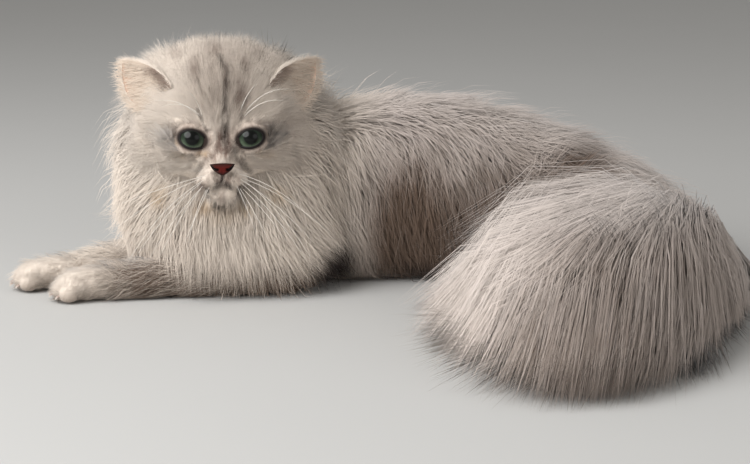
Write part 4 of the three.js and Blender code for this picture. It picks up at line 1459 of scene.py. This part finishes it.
def build_nose(context):
    """Nose leather: a rounded triangle, point down, with two comma-shaped nostrils."""
    half, high = 8.3, 7.8
    corners = [
        ((-half, high * 0.45), (0, high * 0.62), (half, high * 0.45)),
        ((half, high * 0.45), (half * 0.86, -high * 0.1), (1, -high * 0.5)),
        ((1, -high * 0.5), (0, -high * 0.57), (-1, -high * 0.5)),
        ((-1, -high * 0.5), (-half * 0.86, -high * 0.1), (-half, high * 0.45)),
    ]
    outline = [quadratic(*curve, count) for curve, count in zip(corners, (24, 26, 8, 26))]
    outline = np.vstack(outline)[::-1]
    profile = [(0.1, -0.4), (0.95, 0.4), (1.06, -1.2), (1.08, -2.6), (1.0, -3.9), (0.9, -4.5)]
    profile += [(share, -4.6 - 0.9 * (1 - share**2)) for share in np.linspace(0.8, 0.02, 14)]
    middle = np.array([0, 0.6])
    rows = []
    for share, deep in profile:
        ring = middle + (outline - middle) * share
        rows.append(np.stack([ring[:, 0], np.full(len(ring), deep), ring[:, 1]], axis=-1))
    points = np.array(rows)
    hole = np.zeros(points.shape[:2])
    for side in (-1, 1):
        comma = quadratic((side * 3.4, -0.2), (side * 5.8, -0.2), (side * 8.0, 2.6), 20)
        off = np.linalg.norm(points[..., None, [0, 2]] - comma[None, None], axis=-1).min(axis=-1)
        hole = np.maximum(hole, 1 - smooth(0.35, 1.35, off))
    hole[:3] = 0
    points[..., 1] += 2.4 * hole
    groove = np.exp(-((points[..., 0] / 0.8) ** 2)) * smooth(1.5, -4, points[..., 2])
    points[3:, :, 1] += 0.7 * groove[3:]
    vertices, faces = Form("nose", from_head(points + NOSE_AT)).shell()
    finish = nose_finish(context.scene.cat_colours)
    nose = add_mesh("nose_leather", vertices, faces, finish, "nose_leather")
    note(nose.data, "own", Form("nose", points).shell()[0])
    note(nose.data, "hole", np.concatenate([hole[1:-1].ravel(), [0, 0]]))
    edge = np.repeat([share for share, _ in profile[1:-1]], len(outline))
    note(nose.data, "edge", np.concatenate([edge, [0, 0]]))
    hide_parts("nose")


def ear_frame(side):
    """The middle of an ear's root, half its width, the way to the tip and the way the opening faces."""
    inner, outer, tip = (point * (side, 1, 1) for point in (EAR_INNER, EAR_OUTER, EAR_TIP))
    middle, half = (inner + outer) / 2, (inner - outer) / 2
    axis = tip - middle
    opening = unit(np.cross(axis, half)) * side
    return middle, half, axis, opening


def ear_sheet(side, deep):
    """One face of an ear's cup, from its middle to its rim: a triangle with a round tip."""
    middle, half, axis, opening = ear_frame(side)
    radius = np.sin(np.linspace(0, math.pi / 2, 26))[:, None]
    turn = np.linspace(0, 2 * math.pi, 56, endpoint=False)[None]
    px, py = radius * np.cos(turn), radius * np.sin(turn)
    along = (py + 1) / 2
    across = np.clip(px / np.sqrt(np.maximum(1 - py**2, 1e-6)), -1, 1)
    wide = (1 - along**1.8) ** 0.8
    sunk = -deep * np.sqrt(np.maximum(0, 1 - radius**2)) * (1 - 0.4 * along)
    bow = 3.0 * np.sin(along * math.pi) * across
    points = middle + axis * along[..., None] + half * (across * wide)[..., None]
    points = points + opening * sunk[..., None] + unit(half) * bow[..., None]
    return from_head(points)


def ear_crease_shadow(side, points):
    """How far places of an ear lie in the painted shadow of the crease along its upper edge, from 0 to 1."""
    middle, half, axis, _ = ear_frame(side)
    off = to_head(points) - middle
    across = off @ half / (half @ half)
    along = np.clip(off @ axis / (axis @ axis), 0, 1)
    from_edge = (1 - along**1.8) ** 0.8 - across
    return (1 - smooth(0.05, 0.42, from_edge)) * (1 - smooth(0.3, 0.62, along))


def ear_finish(colours):
    """The thin bare skin of the ears, with painted shadow in the crease."""
    finish = Finish("ear_skin", Specular_IOR_Level=0.3, Sheen_Weight=0.2)
    grain = finish.cloud(finish.vector("root"), 3, 3.0, 0.6)
    made = finish.mix(grain.rise(0.3, 0.75) * 0.5, colours.ear, (0.80, 0.62, 0.5))
    # Painted shadow in the crease under the crown's fur.
    made = finish.mix(finish.number("crease") * 0.85, made, colours.mauve)
    finish.set(Base_Color=made, Roughness=0.6 + 0.15 * grain)
    finish.bump(grain, 0.3, 0.0006)
    return finish.material


def ear_coat_finish(colours):
    """The fine warm hair inside the ears."""
    finish = Finish("ear_coat", Specular_IOR_Level=0.28, Sheen_Weight=0.3)
    draw = finish.number("draw")
    warm = finish.mix(0.3 + 0.5 * draw, (0.80, 0.68, 0.56), (0.70, 0.53, 0.40))
    made = finish.mix(finish.number("along") * 0.5, warm, colours.cream)
    # Painted shadow in the crease under the crown's fur.
    made = finish.mix(finish.number("crease") * 0.85, made, colours.mauve)
    finish.set(Base_Color=made, Roughness=0.65 + 0.15 * draw)
    return finish.material


def free_tufts(name, rng, roots, ways, long, wide, out, spot, finish, slot, steps, fall=0, wave=0.08):
    """Tufts that leave their roots freely and bend down."""
    count = len(roots)
    way = unit(ways)
    strand = [roots]
    swing = rng.normal(0, 1, (count, 3))
    for _ in range(steps):
        way = unit(way + DOWN * fall / steps + swing * wave)
        strand.append(strand[-1] + way * (long / steps)[:, None])
    tufts = {
        "root": roots, "spot": spot, "strand": held_in(np.stack(strand, axis=1)), "draw": rng.random(count),
        "wide": np.broadcast_to(wide, count), "out": np.broadcast_to(out, (count, 3)),
    }
    return tuft_mesh(name, tufts, finish, slot)


def build_ears(context):
    """Two thin cups, short fur on their backs and rims and fine hair that fans out over their insides."""
    colours = context.scene.cat_colours
    skin = ear_finish(colours)
    coat = coat_finish("ear_back_coat", colours).material
    inner_coat = ear_coat_finish(colours)
    rng = np.random.default_rng(context.scene.cat_sizes.seed + 5)
    for name, side in SIDES.items():
        back = ear_sheet(side, EAR_DEEP)
        front = ear_sheet(side, EAR_DEEP * 0.72)
        vertices, faces = Form("ear", np.concatenate([back, front[::-1]])).shell()
        faces = turned_over(faces) if side > 0 else faces
        ear = add_mesh(f"ear_cup_{name}", vertices, faces, skin, "ear_fur")
        note(ear.data, "root", vertices)
        note(ear.data, "crease", ear_crease_shadow(side, vertices))
        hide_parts(f"ear_{name}")

        half, axis, opening = (way @ HEAD_TURN.T for way in ear_frame(side)[1:])
        half, axis = unit(half), unit(axis)
        left = 0.6 if side > 0 else 0.8
        at, forward, spot = Form("ear", back, (left, 0.91, 0.1, 0.09)).spread(260, rng)
        out = unit(forward + opening * 0.3 + (0, -0.3, 0.5))
        ways = axis * 0.9 + forward * 0.5 - opening * 0.25 + rng.normal(0, 0.22, at.shape)
        long = rng.uniform(3, 7.5, len(at))
        free_tufts(f"ear_back_coat_{name}", rng, at, ways, long, 0.42, out, spot, coat, "ear_fur", steps=1)
        at, forward, spot = Form("ear", front, (left + 0.1, 0.91, 0.1, 0.09)).spread(240, rng)
        ways = axis * 0.7 - half * 0.6 + opening * 0.2 + rng.normal(0, 0.2, at.shape)
        long = rng.uniform(5, 13, len(at))
        made = free_tufts(
            f"ear_inner_coat_{name}", rng, at, ways, long, 0.32, opening, spot, inner_coat, "ear_fur",
            steps=2, fall=0.2,
        )
        each = len(made.data.vertices) // len(at)
        note(made.data, "crease", np.repeat(ear_crease_shadow(side, at), each))


def whisker_finish():
    """White, and a little greyer towards the tips."""
    finish = Finish("whisker", Specular_IOR_Level=0.5)
    along = finish.number("along")
    made = finish.mix(along, (0.84, 0.79, 0.72), (0.74, 0.69, 0.62))
    finish.set(Base_Color=made, Roughness=0.35 + 0.1 * along)
    return finish.material


# Whiskers of the head's left side: root on the pad, way out and length. The right side mirrors them.
WHISKERS = [
    ((13, -49, -36), (0.93, -0.28, -0.22), 52), ((15, -47, -38), (0.90, -0.30, -0.34), 60),
    ((13.5, -49, -40), (0.86, -0.30, -0.46), 64), ((16, -46, -41), (0.82, -0.28, -0.54), 58),
    ((14, -48, -43), (0.74, -0.30, -0.64), 55), ((15, -46, -45), (0.64, -0.28, -0.74), 48),
    ((12, -48, -46), (0.52, -0.30, -0.82), 42), ((10, -49, -44), (0.40, -0.34, -0.86), 36),
]
BROWS = [
    ((15, -40, 6), (0.45, -0.45, 0.78), 36), ((17, -39, 7), (0.62, -0.42, 0.66), 30),
    ((14, -40, 8), (0.25, -0.5, 0.85), 28),
]


def build_whiskers(context):
    """White whiskers from both pads and finer ones over the eyes."""
    rng = np.random.default_rng(context.scene.cat_sizes.seed + 6)
    rows = []
    for side in (-1, 1):
        for kind, wide, bend in ((WHISKERS, 0.38, 0.55), (BROWS, 0.34, 1.1)):
            for root, way, reach in kind:
                root = np.array(root) * (side, 1, 1) + rng.normal(0, 0.6, 3)
                way = np.array(way) * (side, 1, 1) + rng.normal(0, 0.05, 3)
                long = reach * rng.uniform(1.1, 1.5)
                rows.append((*root, *way, long, wide, bend * rng.uniform(0.6, 1.3)))
    rows = np.array(rows)
    roots = from_head(rows[:, :3])
    ways = unit(rows[:, 3:6] @ HEAD_TURN.T)
    index = np.arange(len(rows))
    spot = np.stack([0.05 + 0.03 * (index % 8), 0.93 + 0.01 * (index // 8)], axis=-1)
    free_tufts(
        "whiskers", rng, roots, ways, rows[:, 6], rows[:, 7], (0, -0.6, 0.8), spot, whisker_finish(),
        "face_fur", steps=12, fall=rows[:, 8:], wave=0.006,
    )


def claw_finish(colours):
    """Horn that pales towards its tip."""
    finish = Finish("claw", Specular_IOR_Level=0.5)
    along = finish.number("along")
    made = finish.mix(along.rise(0.1, 0.9), colours.claw, (0.75, 0.68, 0.6))
    finish.set(Base_Color=made, Roughness=0.35 + 0.15 * along)
    return finish.material


def build_claws(context):
    """A short curved claw before each toe of the forepaws and hind paws."""
    finish = claw_finish(context.scene.cat_colours)
    rng = np.random.default_rng(context.scene.cat_sizes.seed + 7)
    for name, (toe, _, facing) in PAWS.items():
        middles = np.array([flesh()[f"{name}_{n}"].points.mean(axis=(0, 1)) for n in (1, 2, 3, 4)])
        ahead = turn_matrix(0, facing) @ np.array([-1.0, 0, 0])
        roots = middles + ahead * (toe[0] - 2.2) + (0, 0, -0.5)
        ways = np.repeat((ahead + (0, 0, 0.12))[None], 4, axis=0)
        spot = np.stack([0.3 + 0.02 * np.arange(4), np.full(4, 0.95)], axis=-1)
        free_tufts(
            f"claws_{name}", rng, roots, ways, np.full(4, 4.0), 1.7, -DOWN, spot, finish, "leg_fur",
            steps=5, fall=1.8, wave=0,
        )


def floor_finish(stage):
    """Plain and pale, with a hardly visible grain."""
    finish = Finish("floor", Specular_IOR_Level=0.2)
    grain = finish.cloud(finish.node("ShaderNodeTexCoord").outputs["Object"], 0.25, 3.0, 0.5)
    darker, paler = ([min(1, part * share) for part in stage.floor] for share in (0.985, 1.01))
    finish.set(Base_Color=finish.mix(grain, darker, paler), Roughness=0.75 + 0.1 * grain)
    return finish.material


# Where the lights and the camera look, and where they are: the lamps in metres, the camera in millimetres.
LOOK_AT = (-20, -60, 70)
LAMPS = {"key": (1.7, (-1.2, -1.0, 1.15)), "fill": (1.6, (1.5, -1.3, 0.7))}
CAMERA_AT = (0, -1307, 311.7)
CAMERA_TILT = math.radians(78)
FLOOR_RADIUS = 9


def build_stage(context):
    """Floor, soft light from the upper left, weak light from the right, and the camera."""
    scene = context.scene
    stage = scene.cat_stage
    floor = bpy.data.meshes.new("floor")
    turns = np.linspace(0, 2 * math.pi, 64, endpoint=False)
    ring = [(FLOOR_RADIUS * math.cos(turn), FLOOR_RADIUS * math.sin(turn), 0) for turn in turns]
    floor.from_pydata(ring, [], [tuple(range(len(ring)))])
    floor.materials.append(floor_finish(stage))
    linked("floor", floor)

    target = Vector(place(LOOK_AT).tolist())
    for name, (size, at) in LAMPS.items():
        lamp = bpy.data.lights.new(name, "AREA")
        lamp.shape = "DISK"
        lamp.size = size
        lamp.energy = getattr(stage, name)
        light = linked(name, lamp)
        light.location = at
        light.rotation_euler = (target - Vector(at)).to_track_quat("-Z", "Y").to_euler()

    scene.view_settings.view_transform = "Standard"
    scene.world = scene.world or bpy.data.worlds.new("sky")
    scene.world.use_nodes = True
    sky = scene.world.node_tree.nodes["Background"]
    sky.inputs["Color"].default_value = (1.0, 0.985, 0.96, 1)
    sky.inputs["Strength"].default_value = stage.sky

    lens = bpy.data.cameras.new("camera")
    lens.sensor_width = 36
    lens.lens = stage.lens
    lens.clip_start = 0.01
    scene.camera = linked("camera", lens)
    scene.camera.location = place(CAMERA_AT).tolist()
    scene.camera.rotation_euler = (CAMERA_TILT, 0, 0)


class CAT_OT_stage(bpy.types.Operator):
    """Make the floor, the lights and the camera"""

    bl_idname = "cat.stage"
    bl_label = "Stage"

    def execute(self, context):
        build_stage(context)
        return {"FINISHED"}


class CAT_OT_skin(bpy.types.Operator):
    """Join the forms of the body to one skin"""

    bl_idname = "cat.skin"
    bl_label = "Skin"

    def execute(self, context):
        build_skin(context)
        return {"FINISHED"}


class CAT_OT_eyes(bpy.types.Operator):
    """Make both eyes and the rims of their lids"""

    bl_idname = "cat.eyes"
    bl_label = "Eyes"

    def execute(self, context):
        build_eyes(context)
        return {"FINISHED"}


class CAT_OT_nose(bpy.types.Operator):
    """Make the nose leather"""

    bl_idname = "cat.nose"
    bl_label = "Nose"

    def execute(self, context):
        build_nose(context)
        return {"FINISHED"}


class CAT_OT_ears(bpy.types.Operator):
    """Make both ears and their hair"""

    bl_idname = "cat.ears"
    bl_label = "Ears"

    def execute(self, context):
        build_ears(context)
        return {"FINISHED"}


class CAT_OT_claws(bpy.types.Operator):
    """Make the claws"""

    bl_idname = "cat.claws"
    bl_label = "Claws"

    def execute(self, context):
        build_claws(context)
        return {"FINISHED"}


class CAT_OT_face(bpy.types.Operator):
    """Grow the coat of the head"""

    bl_idname = "cat.face"
    bl_label = "Face coat"

    def execute(self, context):
        grow_face(context)
        return {"FINISHED"}


class CAT_OT_ruff(bpy.types.Operator):
    """Grow the ruff and the bib"""

    bl_idname = "cat.ruff"
    bl_label = "Ruff coat"

    def execute(self, context):
        grow_ruff(context)
        return {"FINISHED"}


class CAT_OT_body(bpy.types.Operator):
    """Grow the coat of the back, flanks and haunches"""

    bl_idname = "cat.body"
    bl_label = "Body coat"

    def execute(self, context):
        grow_body(context)
        return {"FINISHED"}


class CAT_OT_legs(bpy.types.Operator):
    """Grow the coat of the legs and paws"""

    bl_idname = "cat.legs"
    bl_label = "Leg coat"

    def execute(self, context):
        grow_legs(context)
        return {"FINISHED"}


class CAT_OT_tail(bpy.types.Operator):
    """Grow the plume of the tail"""

    bl_idname = "cat.tail"
    bl_label = "Tail coat"

    def execute(self, context):
        grow_tail(context)
        return {"FINISHED"}


class CAT_OT_whiskers(bpy.types.Operator):
    """Make the whiskers"""

    bl_idname = "cat.whiskers"
    bl_label = "Whiskers"

    def execute(self, context):
        build_whiskers(context)
        return {"FINISHED"}


OPERATORS = [
    CAT_OT_stage, CAT_OT_skin, CAT_OT_eyes, CAT_OT_nose, CAT_OT_ears, CAT_OT_claws,
    CAT_OT_face, CAT_OT_ruff, CAT_OT_body, CAT_OT_legs, CAT_OT_tail, CAT_OT_whiskers,
]
GROUPS = {"cat_colours": CatColours, "cat_sizes": CatSizes, "cat_stage": CatStage}


class CAT_PT_panel(bpy.types.Panel):
    """The cat's steps, in order, and its sizes and colours."""

    bl_label = "Persian Cat"
    bl_idname = "CAT_PT_panel"
    bl_space_type = "VIEW_3D"
    bl_region_type = "UI"
    bl_category = "Persian Cat"

    def draw(self, context):
        for operator in OPERATORS:
            self.layout.operator(operator.bl_idname)
        for group in GROUPS:
            for name in GROUPS[group].__annotations__:
                self.layout.prop(getattr(context.scene, group), name)


CLASSES = [*GROUPS.values(), *OPERATORS, CAT_PT_panel]


def register():
    for kind in CLASSES:
        bpy.utils.register_class(kind)
    for name, kind in GROUPS.items():
        setattr(bpy.types.Scene, name, PointerProperty(type=kind))


def unregister():
    for name in GROUPS:
        delattr(bpy.types.Scene, name)
    for kind in reversed(CLASSES):
        bpy.utils.unregister_class(kind)


def main():
    """Builds the cat."""
    register()
    for operator in OPERATORS:
        getattr(bpy.ops.cat, operator.bl_idname.split(".")[1])()


if __name__ == "__main__":
    main()
